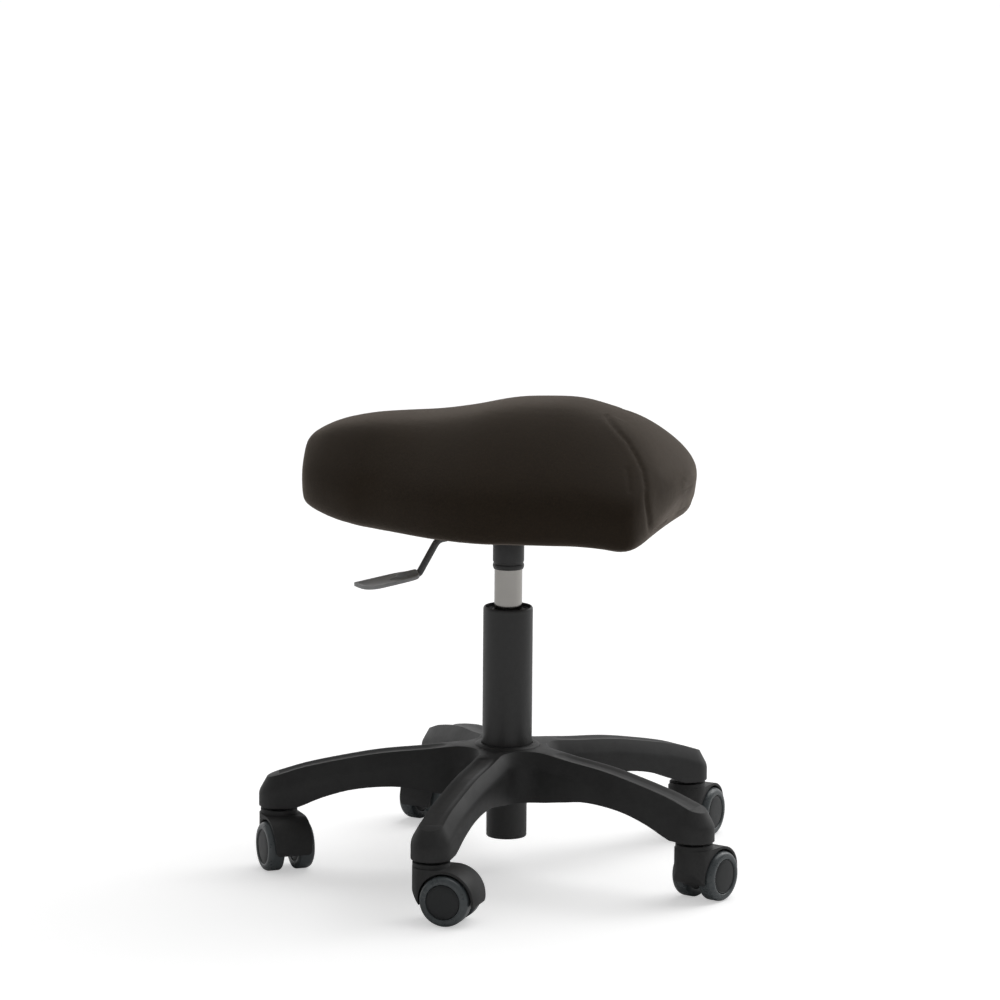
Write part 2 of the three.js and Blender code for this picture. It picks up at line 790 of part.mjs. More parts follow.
function seatCushion() {
  const roof = boardBottom + boardThickness + clearance;
  const pocketShape = prism(boardOutline(boardInset - clearance), seatBottom - cutOverrun, roof);
  return without(solid(cushionSkin()), pocketShape);
}

// A castor is drawn with its swivel axis on Z and its wheels trailing along +X
function castorHousing() {
  const axle = [castorTrail, wheelRadius];
  const inner = wheelRadius + hoodGap;
  const outer = inner + hoodWall;
  const side = [[-neckRadius, neckTop]];
  for (const [along, down] of lobeShares) {
    side.push([-neckRadius + lobeDepth * along, lobeTop - (lobeTop - lobeBottom) * down]);
  }
  const bossEnd = castorTrail + axleBossRadius;
  side.push([bossEnd, lobeBottom], [bossEnd, hoodEdge]);
  const lowAngle = Math.asin((hoodEdge - axle[1]) / outer);
  const highAngle = Math.acos((neckRadius - axle[0]) / outer);
  for (let step = 0; step <= hoodSteps; step += 1) {
    const angle = lowAngle + (highAngle - lowAngle) * (step / hoodSteps);
    side.push([axle[0] + outer * Math.cos(angle), axle[1] + outer * Math.sin(angle)]);
  }
  side.push([neckRadius, neckTop]);
  const flank = prism(side, -hoodHalfWidth, hoodHalfWidth).rotateX(quarterTurn);
  const plan = [];
  for (let step = 0; step <= planSteps; step += 1) {
    const angle = quarterTurn + halfTurn * (step / planSteps);
    plan.push([neckRadius * Math.cos(angle), hoodHalfWidth * Math.sin(angle)]);
  }
  const end = castorTrail + outer + cutOverrun;
  plan.push([end, -hoodHalfWidth], [end, hoodHalfWidth]);
  const planSolid = prism(plan, 0, neckTop);
  const taper = [
    [-hoodLowHalfWidth, 0],
    [hoodLowHalfWidth, 0],
    [hoodLowHalfWidth, hoodTaperBottom],
    [hoodHalfWidth, hoodTaperTop],
    [hoodHalfWidth, neckTop],
    [-hoodHalfWidth, neckTop],
    [-hoodHalfWidth, hoodTaperTop],
    [-hoodLowHalfWidth, hoodTaperBottom],
  ];
  const reach = end + neckRadius;
  const taperSolid = prism(taper, -reach, reach)
    .rotateX(quarterTurn)
    .rotateZ(quarterTurn);
  let body = solid(flank).intersect(solid(planSolid)).intersect(solid(taperSolid));
  body = body.intersect(solid(neckEnvelope(outer)));
  const cuts = [];
  for (const hand of [-1, 1]) {
    const near = hand > 0 ? webHalfThickness : -hoodHalfWidth - cutOverrun;
    const far = hand > 0 ? hoodHalfWidth + cutOverrun : -webHalfThickness;
    cuts.push(crossDisc(inner, ...axle, near, far));
  }
  const slot = without(
    solid(crossDisc(inner, ...axle, -webHalfThickness - clearance, webHalfThickness + clearance)),
    crossDisc(axleBossRadius, ...axle, -hoodHalfWidth, hoodHalfWidth),
    block(
      [-reach, -hoodHalfWidth, lobeBottom - cutOverrun],
      [castorTrail, hoodHalfWidth, neckTop + cutOverrun],
    ),
  );
  body = without(body, ...cuts).subtract(slot);
  const axleHole = crossDisc(axleRadius + clearance, ...axle, -hoodHalfWidth, hoodHalfWidth, smallSides);
  const socketBottomHeight = neckTop - stemInCastor - clearance;
  const stemHole = disc(stemRadius + clearance, socketBottomHeight, neckTop + cutOverrun, smallSides);
  return without(body, axleHole, stemHole);
}

// The neck narrows the top of the housing to a round collar over the stem
function neckEnvelope(outer) {
  const hoodTop = wheelRadius + outer;
  const neck = disc(neckRadius, 0, neckTop);
  const wide = block(
    [-neckRadius - cutOverrun, -hoodHalfWidth - cutOverrun, 0],
    [castorTrail + outer + cutOverrun, hoodHalfWidth + cutOverrun, hoodTop],
  );
  return geometryOf(joined(solid(neck), wide));
}

function castorStem() {
  const collarBottom = neckTop + clearance;
  const collarTop = bossBottom - clearance;
  return turned(
    [
      [0, neckTop - stemInCastor],
      [stemRadius, neckTop - stemInCastor],
      [stemRadius, collarBottom],
      [stemCollarRadius, collarBottom],
      [stemCollarRadius, collarTop],
      [stemRadius, collarTop],
      [stemRadius, bossBottom + stemInBase],
      [0, bossBottom + stemInBase],
    ],
    smallSides,
  );
}

// A wheel is turned about Z, then laid over so that its axis runs along Y and a flat facet lies lowest
function layWheel(geometry, side) {
  geometry.rotateX(side > 0 ? -quarterTurn : quarterTurn);
  return geometry.translate(castorTrail, 0, wheelRadius);
}

// Radius of a faceted ring's corners, so that its flats lie at the true radius
const facetShare = 1 / Math.cos(halfTurn / wheelSides);

function wheelTread(side) {
  const inner = (capRadius + clearance) * facetShare;
  const outer = wheelRadius * facetShare;
  const width = wheelOuterFace - wheelInnerFace;
  const shoulder = outer - inner;
  const flatEnd = wheelInnerFace + treadFlatShare * width;
  const shoulderWidth = wheelOuterFace - capEdgeDepth - flatEnd;
  const points = [[inner, wheelInnerFace], [outer, wheelInnerFace], [outer, flatEnd]];
  for (const [alongShare, radiusShare] of treadShoulderShares) {
    points.push([inner + shoulder * radiusShare, flatEnd + shoulderWidth * alongShare]);
  }
  points.push([inner, wheelOuterFace - capEdgeDepth]);
  return layWheel(turned(points, wheelSides, halfTurn / wheelSides), side);
}

function wheelCore(side) {
  const boreEnd = axleBoreDepth;
  const points = [
    [axleRadius + clearance, wheelInnerFace],
    [capRadius, wheelInnerFace],
    [capRadius, wheelOuterFace - capEdgeDepth],
    [capRadius * capDomeShare, wheelOuterFace],
    [0, wheelOuterFace],
    [0, boreEnd],
    [axleRadius + clearance, boreEnd],
    [axleRadius + clearance, wheelInnerFace],
  ];
  const profile = points.map(([radius, height]) => new THREE.Vector2(radius, height));
  const start = halfTurn / wheelSides;
  const core = new THREE.LatheGeometry(profile, wheelSides, start, fullTurn).rotateX(quarterTurn);
  return layWheel(core, side);
}

const stool = new THREE.Group();

// Base and column
piece("star_base", geometryOf(starBase()), "blackNylon", stool);
piece("outer_column", outerColumn(), "blackSteel", stool);
const bushInner = cylinderRadius + clearance;
const bushOuter = columnRadius - columnWall - clearance;
const bushTop = columnTop - bushDepth;
piece("guide_bush", ring(bushInner, bushOuter, bushTop - bushHeight, bushTop), "darkPlastic", stool);

// Thrust bearing and rod at the foot of the column
const bearingInner = rodRadius + clearance;
const raceTopLow = lowerRaceBottom + raceThickness;
const raceTopHigh = upperRaceBottom + raceThickness;
piece("lower_race", ring(bearingInner, raceRadius, lowerRaceBottom, raceTopLow), "steel", stool);
const cageTop = cageBottom + cageThickness;
piece("bearing_cage", ring(bearingInner, raceRadius, cageBottom, cageTop), "brass", stool);
piece("upper_race", ring(bearingInner, raceRadius, upperRaceBottom, raceTopHigh), "steel", stool);
const bumperTop = bumperBottom + bumperHeight;
piece("rubber_bumper", ring(bearingInner, bumperRadius, bumperBottom, bumperTop), "rubber", stool);
piece("rod_clip", ring(bearingInner, clipRadius, clipTop - clipThickness, clipTop), "steel", stool);
piece("piston_rod", disc(rodRadius, rodBottom, pistonBottom - clearance), "chrome", stool);
piece("piston", piston(), "steel", stool);

// Everything above the column turns with the seat
const seat = new THREE.Group();
seat.rotation.z = seatTurn;
stool.add(seat);
piece("gas_cylinder", gasCylinder(), "chrome", seat);
const guideOuter = cylinderRadius - cylinderWall - clearance;
piece("cylinder_guide", ring(bearingInner, guideOuter, guideBottom, guideTop), "brass", seat);
piece("release_button", disc(buttonRadius, buttonTop - buttonHeight, buttonTop, smallSides), "steel", seat);
piece("cone_socket", coneSocket(), "darkPlastic", seat);

// The plate lies at an angle under the seat, and its lever points the same way
const carrier = new THREE.Group();
carrier.rotation.z = plateTurn;
seat.add(carrier);
piece("seat_plate", geometryOf(seatPlate()), "blackSteel", carrier);
const pinSpan = [-pivotPinHalfLength, pivotPinHalfLength, smallSides];
piece("lever_pivot_pin", crossDisc(pivotPinRadius, -pivotOffset, pivotHeight, ...pinSpan), "steel", carrier);
piece("release_lever", geometryOf(releaseLever()), "blackSteel", carrier);
piece("lever_paddle", leverPaddle(), "greyPlastic", carrier);
piece("seat_board", geometryOf(seatBoard()), "plywood", seat);
piece("seat_cushion", geometryOf(seatCushion()), "fabric", seat);
screwPlaces().forEach(([along, across], number) => {
  piece(`seat_screw_${number + 1}`, seatScrew(along, across), "steel", carrier);
});

// Castors
const housing = geometryOf(castorHousing());
castorNames.forEach((letter, arm) => {
  const castor = new THREE.Group();
  const angle = armAngle(arm);
  castor.position.set(stemCircleRadius * Math.cos(angle), stemCircleRadius * Math.sin(angle), 0);
  castor.rotation.z = castorHeadings[arm];
  stool.add(castor);
  piece(`castor_${letter}_housing`, housing.clone(), "blackNylon", castor);
  piece(`castor_${letter}_stem`, castorStem(), "steel", castor);
  const axle = crossDisc(axleRadius, castorTrail, wheelRadius, -axleHalfLength, axleHalfLength, smallSides);
  piece(`castor_${letter}_axle`, axle, "steel", castor);
  for (const [sideName, side] of [["left", 1], ["right", -1]]) {
    piece(`castor_${letter}_${sideName}_wheel`, wheelCore(side), "darkPlastic", castor);
    piece(`castor_${letter}_${sideName}_tread`, wheelTread(side), "greyTread", castor);
  }
});

export default stool;
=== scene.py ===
"""A low saddle stool: padded saddle seat, gas lift with a paddle lever, star base on twin-wheel castors.

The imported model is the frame. Lengths below are in millimetres and are turned into metres where a
mesh is made. Every mesh is built in its place, with its object at the origin.
"""
import json
from math import acos, asin, atan2, cos, exp, inf, pi, radians, sin

import bmesh
import bpy
from mathutils import Matrix, Vector
from mathutils.geometry import interpolate_bezier


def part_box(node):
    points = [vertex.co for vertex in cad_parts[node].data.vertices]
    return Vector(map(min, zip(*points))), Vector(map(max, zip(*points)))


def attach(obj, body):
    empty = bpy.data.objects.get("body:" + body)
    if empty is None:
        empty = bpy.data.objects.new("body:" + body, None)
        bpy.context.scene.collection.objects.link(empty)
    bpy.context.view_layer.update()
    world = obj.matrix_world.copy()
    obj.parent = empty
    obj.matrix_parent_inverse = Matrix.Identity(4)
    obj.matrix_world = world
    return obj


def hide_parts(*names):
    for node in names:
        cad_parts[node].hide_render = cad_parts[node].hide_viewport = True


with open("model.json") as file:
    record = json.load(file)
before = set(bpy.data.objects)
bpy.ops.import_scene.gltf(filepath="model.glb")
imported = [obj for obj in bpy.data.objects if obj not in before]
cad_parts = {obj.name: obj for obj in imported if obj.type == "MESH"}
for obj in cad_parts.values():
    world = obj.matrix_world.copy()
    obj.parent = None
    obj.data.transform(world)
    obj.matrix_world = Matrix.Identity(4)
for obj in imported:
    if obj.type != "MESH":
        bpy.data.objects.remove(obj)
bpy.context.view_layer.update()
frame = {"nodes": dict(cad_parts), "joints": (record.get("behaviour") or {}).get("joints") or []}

MM = 0.001
FULL_TURN = 2 * pi
QUARTER = pi / 2


def turned(angle, axis="Z"):
    return Matrix.Rotation(angle, 4, axis)


# Facets round a wide turned form, a small one, and a hole that hardly shows
WIDE, SMALL, HOLE = 96, 48, 32
# Vertices closer than this, in metres, are one: on a turned form, and after a boolean
SPUN_WELD, WELD = 1e-6, 2e-6
# They stand a flat outline up: in X and Z, and in Y and Z
UPRIGHT = turned(QUARTER, "X")
ALONG = turned(QUARTER) @ UPRIGHT

# Places that the frame gives
joints = {joint["name"]: joint for joint in frame["joints"]}
CASTORS = "abcde"
SIDES = {"left": 1, "right": -1}
lever_axis = Vector(joints["lever_pull"]["axis"])
LEVER_TURN = turned(atan2(-lever_axis.x, lever_axis.y))
# The plate and its lever lie at this angle to the seat
PLATE_TURN = radians(45)
SEAT_TURN = LEVER_TURN @ turned(-PLATE_TURN)


def castor_place(letter):
    """The turn and shift that put a castor drawn at the origin, trailing along +X, on its stem."""
    stem = Vector(joints[f"castor_{letter}_swivel"]["pos_m"])
    across = Vector(joints[f"castor_{letter}_left_roll"]["axis"])
    return Matrix.Translation((stem.x, stem.y, 0)) @ turned(atan2(-across.x, across.y))


# Outlines


def clamped(share):
    return min(max(share, 0), 1)


def smooth_table(table, at, column):
    """A value from a table whose first column rises, on a smooth curve through its rows."""
    if at <= table[0][0]:
        return table[0][column]
    if at >= table[-1][0]:
        return table[-1][column]
    low = max(i for i, row in enumerate(table) if row[0] <= at)
    before, start, end = table[max(low - 1, 0)], table[low], table[low + 1]
    after = table[min(low + 2, len(table) - 1)]
    slope_in = (end[column] - before[column]) / (end[0] - before[0])
    slope_out = (after[column] - start[column]) / (after[0] - start[0])
    span = end[0] - start[0]
    t = (at - start[0]) / span
    return (
        start[column] * (2 * t**3 - 3 * t**2 + 1)
        + slope_in * span * (t**3 - 2 * t**2 + t)
        + end[column] * (3 * t**2 - 2 * t**3)
        + slope_out * span * (t**3 - t**2)
    )


def heading(angle):
    return Vector((cos(angle), sin(angle)))


def arc(centre, radii, start, end, steps):
    """Points along part of an ellipse, from one angle to another."""
    points = []
    for step in range(steps + 1):
        angle = start + (end - start) * step / steps
        points.append((centre[0] + radii[0] * cos(angle), centre[1] + radii[1] * sin(angle)))
    return points


def rounded(points, radius, steps=4, corners=None):
    """The outline with arcs at the listed corners, or at all of them that are off the axis."""
    longest = 0.45  # of a side, for one arc
    result = []
    for i, point in enumerate(points):
        here = Vector(point)
        sharp = here.x == 0 if corners is None else i not in corners
        if sharp:
            result.append(tuple(here))
            continue
        before = Vector(points[i - 1]) - here
        after = Vector(points[(i + 1) % len(points)]) - here
        reach = min(radius, before.length * longest, after.length * longest)
        start = here + before.normalized() * reach
        end = here + after.normalized() * reach
        for step in range(steps + 1):
            t = step / steps
            result.append(tuple(start * (1 - t) ** 2 + here * 2 * t * (1 - t) + end * t**2))
    return result


# Mesh helpers


def edge_chain(bm, points, closed=False):
    """Vertices in mm joined by edges; gives both."""
    verts = [bm.verts.new(Vector(point) * MM) for point in points]
    pairs = list(zip(verts, verts[1:]))
    if closed:
        pairs.append((verts[-1], verts[0]))
    return verts, [bm.edges.new(pair) for pair in pairs]


def weld(bm, dist=WELD):
    bmesh.ops.remove_doubles(bm, verts=bm.verts, dist=dist)


def face_out(bm):
    bmesh.ops.recalc_face_normals(bm, faces=bm.faces)
    return bm


def lifted(base, points):
    """[radius, height] points with their heights counted from a base."""
    return [(radius, base + height) for radius, height in points]


def spun(points, steps):
    """A closed form turned about Z from [radius, height] points in mm."""
    bm = bmesh.new()
    closed = points[0][0] > 0 or points[-1][0] > 0
    verts, edges = edge_chain(bm, [(r, 0, z) for r, z in points], closed)
    bmesh.ops.spin(
        bm, geom=verts + edges, cent=(0, 0, 0), axis=(0, 0, 1), angle=FULL_TURN, steps=steps,
        use_merge=True,
    )
    weld(bm, SPUN_WELD)
    loose = [edge for edge in bm.edges if not edge.link_faces]
    bmesh.ops.delete(bm, geom=loose, context="EDGES")
    return face_out(bm)


def plug(radius, low, high, steps):
    """A plain cylinder about Z."""
    return spun([(0, low), (radius, low), (radius, high), (0, high)], steps)


def prism(points, low, high):
    """A flat outline in mm raised from one height to another."""
    bm = bmesh.new()
    verts, _ = edge_chain(bm, [(x, y, low) for x, y in points], closed=True)
    face = bm.faces.new(verts)
    raised = bmesh.ops.extrude_face_region(bm, geom=[face])
    top = [item for item in raised["geom"] if isinstance(item, bmesh.types.BMVert)]
    bmesh.ops.translate(bm, verts=top, vec=(0, 0, (high - low) * MM))
    return face_out(bm)


def threaded(bm, rings):
    """Skins a row of (vertices, edges) rings and closes both ends."""
    for one, two in zip(rings, rings[1:]):
        bmesh.ops.bridge_loops(bm, edges=one[1] + two[1])
    bm.faces.new(rings[0][0])
    bm.faces.new(list(reversed(rings[-1][0])))
    return face_out(bm)


def moved(bm, matrix):
    bmesh.ops.transform(bm, matrix=matrix, verts=bm.verts)
    return bm


def added(name, data):
    """An object for a mesh, lamp or camera, in the scene."""
    obj = bpy.data.objects.new(name, data)
    bpy.context.scene.collection.objects.link(obj)
    return obj


def mesh_object(bm, name):
    """An object that takes over a bmesh."""
    mesh = bpy.data.meshes.new(name)
    bm.to_mesh(mesh)
    bm.free()
    return added(name, mesh)


def discard(obj):
    mesh = obj.data
    bpy.data.objects.remove(obj)
    bpy.data.meshes.remove(mesh)


def combined(bm, steps, tidy=True):
    """bm after a list of (operation, other bmesh) booleans; tidy joins its flat faces."""
    base = mesh_object(bm, "base")
    helpers = [mesh_object(other, "cutter") for _, other in steps]
    for (operation, _), helper in zip(steps, helpers):
        modifier = base.modifiers.new(operation, "BOOLEAN")
        modifier.operation = operation
        modifier.solver = "MANIFOLD"
        modifier.object = helper
    result = bmesh.new()
    result.from_object(base, bpy.context.evaluated_depsgraph_get())
    for obj in helpers + [base]:
        discard(obj)
    weld(result)
    if tidy:
        bmesh.ops.dissolve_limit(
            result, angle_limit=radians(0.4), verts=result.verts, edges=result.edges, delimit=set()
        )
    return result


def merged(parts):
    """Several bmeshes as one."""
    whole = bmesh.new()
    for part in parts:
        mesh = bpy.data.meshes.new("part")
        part.to_mesh(mesh)
        part.free()
        whole.from_mesh(mesh)
        bpy.data.meshes.remove(mesh)
    return whole


def bevelled(bm, edges, width, segments):
    bmesh.ops.bevel(
        bm, geom=edges, offset=width * MM, affect="EDGES", segments=segments, profile=0.5,
        material=-1, clamp_overlap=True,
    )
    return bm


def soften(bm, width, segments=2, over=30):
    """Rounds every edge sharper than an angle."""
    limit = radians(over)
    sharp = [edge for edge in bm.edges if len(edge.link_faces) == 2 and edge.calc_face_angle(0) > limit]
    return bevelled(bm, sharp, width, segments)


def piece(name, bm, body, material, replaces=(), sharp=40):
    """The finished piece: a mesh at the origin, riding on its body."""
    obj = mesh_object(bm, name)
    mesh = obj.data
    mesh.polygons.foreach_set("use_smooth", [True] * len(mesh.polygons))
    mesh.set_sharp_from_angle(angle=radians(sharp))
    mesh.materials.append(material)
    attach(obj, body)
    if replaces:
        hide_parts(*replaces)
    return obj


# Shader helpers. Each adds a node and gives the output that the next one reads


def wired(tree, kind, values, output=0, **settings):
    """A node; each of its sockets is given a number or colour, or the output that feeds it."""
    node = tree.nodes.new(f"ShaderNode{kind}")
    for key, value in settings.items():
        setattr(node, key, value)
    for key, value in values.items():
        if isinstance(value, bpy.types.NodeSocket):
            tree.links.new(value, node.inputs[key])
        else:
            node.inputs[key].default_value = value
    return node.outputs[output]


def maths(tree, operation, *values):
    return wired(tree, "Math", dict(enumerate(values)), operation=operation)


def vector_maths(tree, operation, one, two):
    return wired(tree, "VectorMath", {0: one, 1: two}, operation=operation)


def noise(tree, vector, scale, detail, rough=0.5, output="Fac"):
    values = {"Vector": vector, "Scale": scale, "Detail": detail, "Roughness": rough}
    return wired(tree, "TexNoise", values, output)


def mapped(tree, value, low, high, to_low=0.0, to_high=1.0, **settings):
    """A value between low and high brought to between two others."""
    values = {"Value": value, "From Min": low, "From Max": high, "To Min": to_low, "To Max": to_high}
    return wired(tree, "MapRange", values, **settings)


def tinted(tree, share, one, two):
    """A mix of two colours."""
    return wired(tree, "Mix", {0: share, 6: one, 7: two}, output=2, data_type="RGBA")


def split(tree, vector):
    """A vector's X, Y and Z outputs."""
    return wired(tree, "SeparateXYZ", {0: vector}).node.outputs


def grey(level):
    return (level, level, level, 1)


def new_group(name, inputs):
    """A group's tree and its inputs, whose kinds follow from their defaults: none is a vector's."""
    group = bpy.data.node_groups.new(name, "ShaderNodeTree")
    for label, default in inputs.items():
        kind = {type(None): "Vector", tuple: "Color", float: "Float"}[type(default)]
        socket = group.interface.new_socket(label, in_out="INPUT", socket_type=f"NodeSocket{kind}")
        if default is not None:
            socket.default_value = default
    for label, kind in (("Color", "Color"), ("Roughness", "Float"), ("Height", "Float")):
        group.interface.new_socket(label, in_out="OUTPUT", socket_type=f"NodeSocket{kind}")
    return group, group.nodes.new("NodeGroupInput").outputs


def put_out(group, colour, roughness, height):
    leave = group.nodes.new("NodeGroupOutput")
    for label, source in (("Color", colour), ("Roughness", roughness), ("Height", height)):
        group.links.new(source, leave.inputs[label])
    return group


# Shader groups


def grain_group():
    """Moulded plastic: fine grain, slow unevenness, and a slightly uneven gloss and colour."""
    group, given = new_group("moulded_grain", {
        "Vector": None, "Base": grey(0.03), "Bright": grey(0.05), "Grain Scale": 900.0,
        "Gloss Low": 0.4, "Gloss High": 0.55,
    })
    grain = wired(
        group, "TexVoronoi",
        {"Vector": given["Vector"], "Scale": given["Grain Scale"], "Randomness": 1.0},
        "Distance", feature="SMOOTH_F1",
    )
    slow = noise(group, given["Vector"], 22.0, 5.0, 0.55)
    patches = noise(group, given["Vector"], 160.0, 3.0, 0.6)
    both = maths(group, "MULTIPLY_ADD", patches, 0.35, maths(group, "MULTIPLY", slow, 0.65))
    contrast = mapped(group, both, 0.36, 0.66)
    colour = tinted(group, contrast, given["Base"], given["Bright"])
    gloss = wired(
        group, "Mix", {0: contrast, 2: given["Gloss Low"], 3: given["Gloss High"]},
        data_type="FLOAT",
    )
    return put_out(group, colour, gloss, maths(group, "MULTIPLY_ADD", grain, 0.35, slow))


def brushed_group():
    """Turned metal: fine rings round Z and a slow change of gloss."""
    group, given = new_group("turned_metal", {
        "Vector": None, "Dark": grey(0.4), "Bright": grey(0.6), "Gloss Low": 0.2, "Gloss High": 0.35,
    })
    flat = vector_maths(group, "MULTIPLY", given["Vector"], (12.0, 12.0, 3200.0))
    rings = noise(group, flat, 1.0, 2.0)
    slow = noise(group, given["Vector"], 40.0, 4.0)
    colour = tinted(group, slow, given["Dark"], given["Bright"])
    both = maths(group, "MULTIPLY_ADD", rings, 0.5, slow)
    gloss = mapped(group, both, 0.4, 1.1, given["Gloss Low"], given["Gloss High"])
    return put_out(group, colour, gloss, rings)


def weave_group():
    """A close woven cover: threads both ways on the piece's UV map, with thicker and thinner spots."""
    group, given = new_group("cover_weave", {
        "UV": None, "Place": None, "Deep": grey(0.01), "Thread": grey(0.03), "Threads": 1400.0,
    })
    wobble = noise(group, given["Place"], 260.0, 2.0, output="Color")
    shift = vector_maths(group, "MULTIPLY", wobble, (0.0006, 0.0006, 0.0))
    place = vector_maths(group, "ADD", given["UV"], shift)
    apart = split(group, place)
    waves = []
    for axis in "XY":
        turns = maths(group, "MULTIPLY", apart[axis], given["Threads"])
        waves.append(maths(group, "SINE", maths(group, "MULTIPLY", turns, pi)))
    weave = mapped(group, maths(group, "MULTIPLY", *waves), -1.0, 1.0)
    slub = noise(group, given["Place"], 420.0, 4.0, 0.65)
    slow = noise(group, given["Place"], 14.0, 4.0)
    threads = maths(group, "MULTIPLY_ADD", weave, 0.45, slub)
    level = mapped(group, maths(group, "MULTIPLY_ADD", slow, 0.5, threads), 0.55, 1.3)
    colour = tinted(group, level, given["Deep"], given["Thread"])
    return put_out(group, colour, mapped(group, slub, 0.0, 1.0, 0.78, 0.95), threads)


def wood_group():
    """Plywood: long grain on the faces, and thin plies seen on the edges."""
    group, given = new_group("plywood_grain", {
        "Vector": None, "Light": (0.5, 0.35, 0.2, 1), "Dark": (0.3, 0.18, 0.09, 1),
    })
    stretch = vector_maths(group, "MULTIPLY", given["Vector"], (18.0, 260.0, 900.0))
    grain = noise(group, stretch, 1.0, 6.0, 0.6)
    plies = maths(group, "MULTIPLY", split(group, given["Vector"])["Z"], 2200.0)
    bands = maths(group, "SINE", plies)
    both = maths(group, "MULTIPLY_ADD", bands, 0.12, grain)
    colour = tinted(group, both, given["Light"], given["Dark"])
    return put_out(group, colour, mapped(group, grain, 0.0, 1.0, 0.55, 0.8), grain)


GRAIN = grain_group()
BRUSHED = brushed_group()
WEAVE = weave_group()
WOOD = wood_group()


# Finishes


def finish(name, group, values, bump, height=0.0003, **shader_values):
    """A material: a group feeds the shader's colour, roughness and bump; the rest are constants."""
    material = bpy.data.materials.new(name)
    material.use_nodes = True
    tree = material.node_tree
    shader = tree.nodes["Principled BSDF"]
    place = tree.nodes.new("ShaderNodeTexCoord")
    node = tree.nodes.new("ShaderNodeGroup")
    node.node_tree = group
    for key, value in values.items():
        node.inputs[key].default_value = value
    for label, source in (("Vector", "Object"), ("Place", "Object"), ("UV", "UV")):
        if label in node.inputs:
            tree.links.new(place.outputs[source], node.inputs[label])
    tree.links.new(node.outputs["Color"], shader.inputs["Base Color"])
    tree.links.new(node.outputs["Roughness"], shader.inputs["Roughness"])
    relief = {"Strength": bump, "Distance": height, "Height": node.outputs["Height"]}
    tree.links.new(wired(tree, "Bump", relief), shader.inputs["Normal"])
    for key, value in shader_values.items():
        shader.inputs[key.replace("_", " ")].default_value = value
    return material


def plastic(name, base, bright, grain, gloss, bump, **shader_values):
    """gloss is the roughness at its lowest and highest."""
    values = {"Base": base, "Bright": bright, "Grain Scale": grain}
    values.update({"Gloss Low": gloss[0], "Gloss High": gloss[1]})
    return finish(name, GRAIN, values, bump, **shader_values)


def metal(name, dark, bright, gloss, bump):
    values = {"Dark": (*dark, 1), "Bright": (*bright, 1), "Gloss Low": gloss[0], "Gloss High": gloss[1]}
    return finish(name, BRUSHED, values, bump, Metallic=1.0)


nylon = plastic(
    "black_nylon", grey(0.025), grey(0.038), 1100.0, (0.46, 0.6), 0.35, Specular_IOR_Level=0.3
)
coated = plastic("powder_coat", grey(0.026), grey(0.036), 1500.0, (0.38, 0.48), 0.25)
lever_coat = plastic("lever_coat", grey(0.075), grey(0.105), 1500.0, (0.36, 0.48), 0.25)
hub_plastic = plastic(
    "wheel_core", (0.015, 0.0165, 0.017, 1), (0.023, 0.025, 0.026, 1), 1300.0, (0.38, 0.52), 0.2,
    Specular_IOR_Level=0.4,
)
soft_tread = plastic(
    "soft_tread", (0.05, 0.058, 0.061, 1), (0.08, 0.091, 0.096, 1), 1700.0, (0.24, 0.32), 0.08
)
paddle_plastic = plastic("paddle_plastic", grey(0.27), grey(0.34), 1500.0, (0.38, 0.5), 0.25)
bump_rubber = plastic("bumper_rubber", grey(0.015), grey(0.03), 900.0, (0.7, 0.85), 0.3)
chrome = metal("satin_chrome", (0.37, 0.355, 0.335), (0.48, 0.465, 0.44), (0.12, 0.2), 0.04)
zinc = metal("zinc_steel", (0.42, 0.43, 0.45), (0.58, 0.59, 0.6), (0.28, 0.42), 0.08)
brass = metal("plain_brass", (0.55, 0.38, 0.15), (0.72, 0.52, 0.24), (0.28, 0.4), 0.08)
plywood = finish(
    "birch_plywood", WOOD, {"Light": (0.32, 0.235, 0.15, 1), "Dark": (0.19, 0.13, 0.08, 1)}, 0.2
)
cover = finish(
    "seat_cover", WEAVE,
    {"Deep": (0.0118, 0.0069, 0.0033, 1), "Thread": (0.0265, 0.0174, 0.009, 1), "Threads": 1250.0},
    0.5, height=0.0004, Sheen_Weight=0.47, Sheen_Roughness=0.42, Sheen_Tint=(0.68, 0.59, 0.51, 1),
    Specular_IOR_Level=0.25,
)

# CAD nodes that stay as they are get their finish
STEMS_AND_AXLES = [f"castor_{letter}_{part}" for letter in CASTORS for part in ("stem", "axle")]
KEPT = [
    (zinc, ["lower_race", "upper_race", "rod_clip", "piston", "release_button", "lever_pivot_pin"]),
    (zinc, STEMS_AND_AXLES),
    (brass, ["bearing_cage", "cylinder_guide"]),
    (bump_rubber, ["rubber_bumper"]),
    (chrome, ["piston_rod"]),
    (plywood, ["seat_board"]),
]
for material, node_names in KEPT:
    for node_name in node_names:
        node_mesh = frame["nodes"][node_name].data
        node_mesh.materials.clear()
        node_mesh.materials.append(material)
        for polygon in node_mesh.polygons:
            polygon.material_index = 0

# Star base

ARM_ANGLES = []
for letter in CASTORS:
    stem_x, stem_y, _ = joints[f"castor_{letter}_swivel"]["pos_m"]
    ARM_ANGLES.append(atan2(stem_y, stem_x))
STEM_REACH = Vector(joints["castor_a_swivel"]["pos_m"]).xy.length / MM
BOSS_RADIUS = 20.25
ARM_HALF = 19.5
# From an arm's side in to the edge of its top band, and from the top down to the shoulder
BAND_INSET = 8
SHOULDER_DROP = 14
WEB_FILLET = 21
HUB_TOP = 127
HUB_RING = 33
COLUMN_RADIUS = 25
FOOT_RADIUS = 20.4
CONE_LOW, CONE_HIGH = 84, 112  # the column widens from its foot between these heights
STEM_HOLE = 5.8
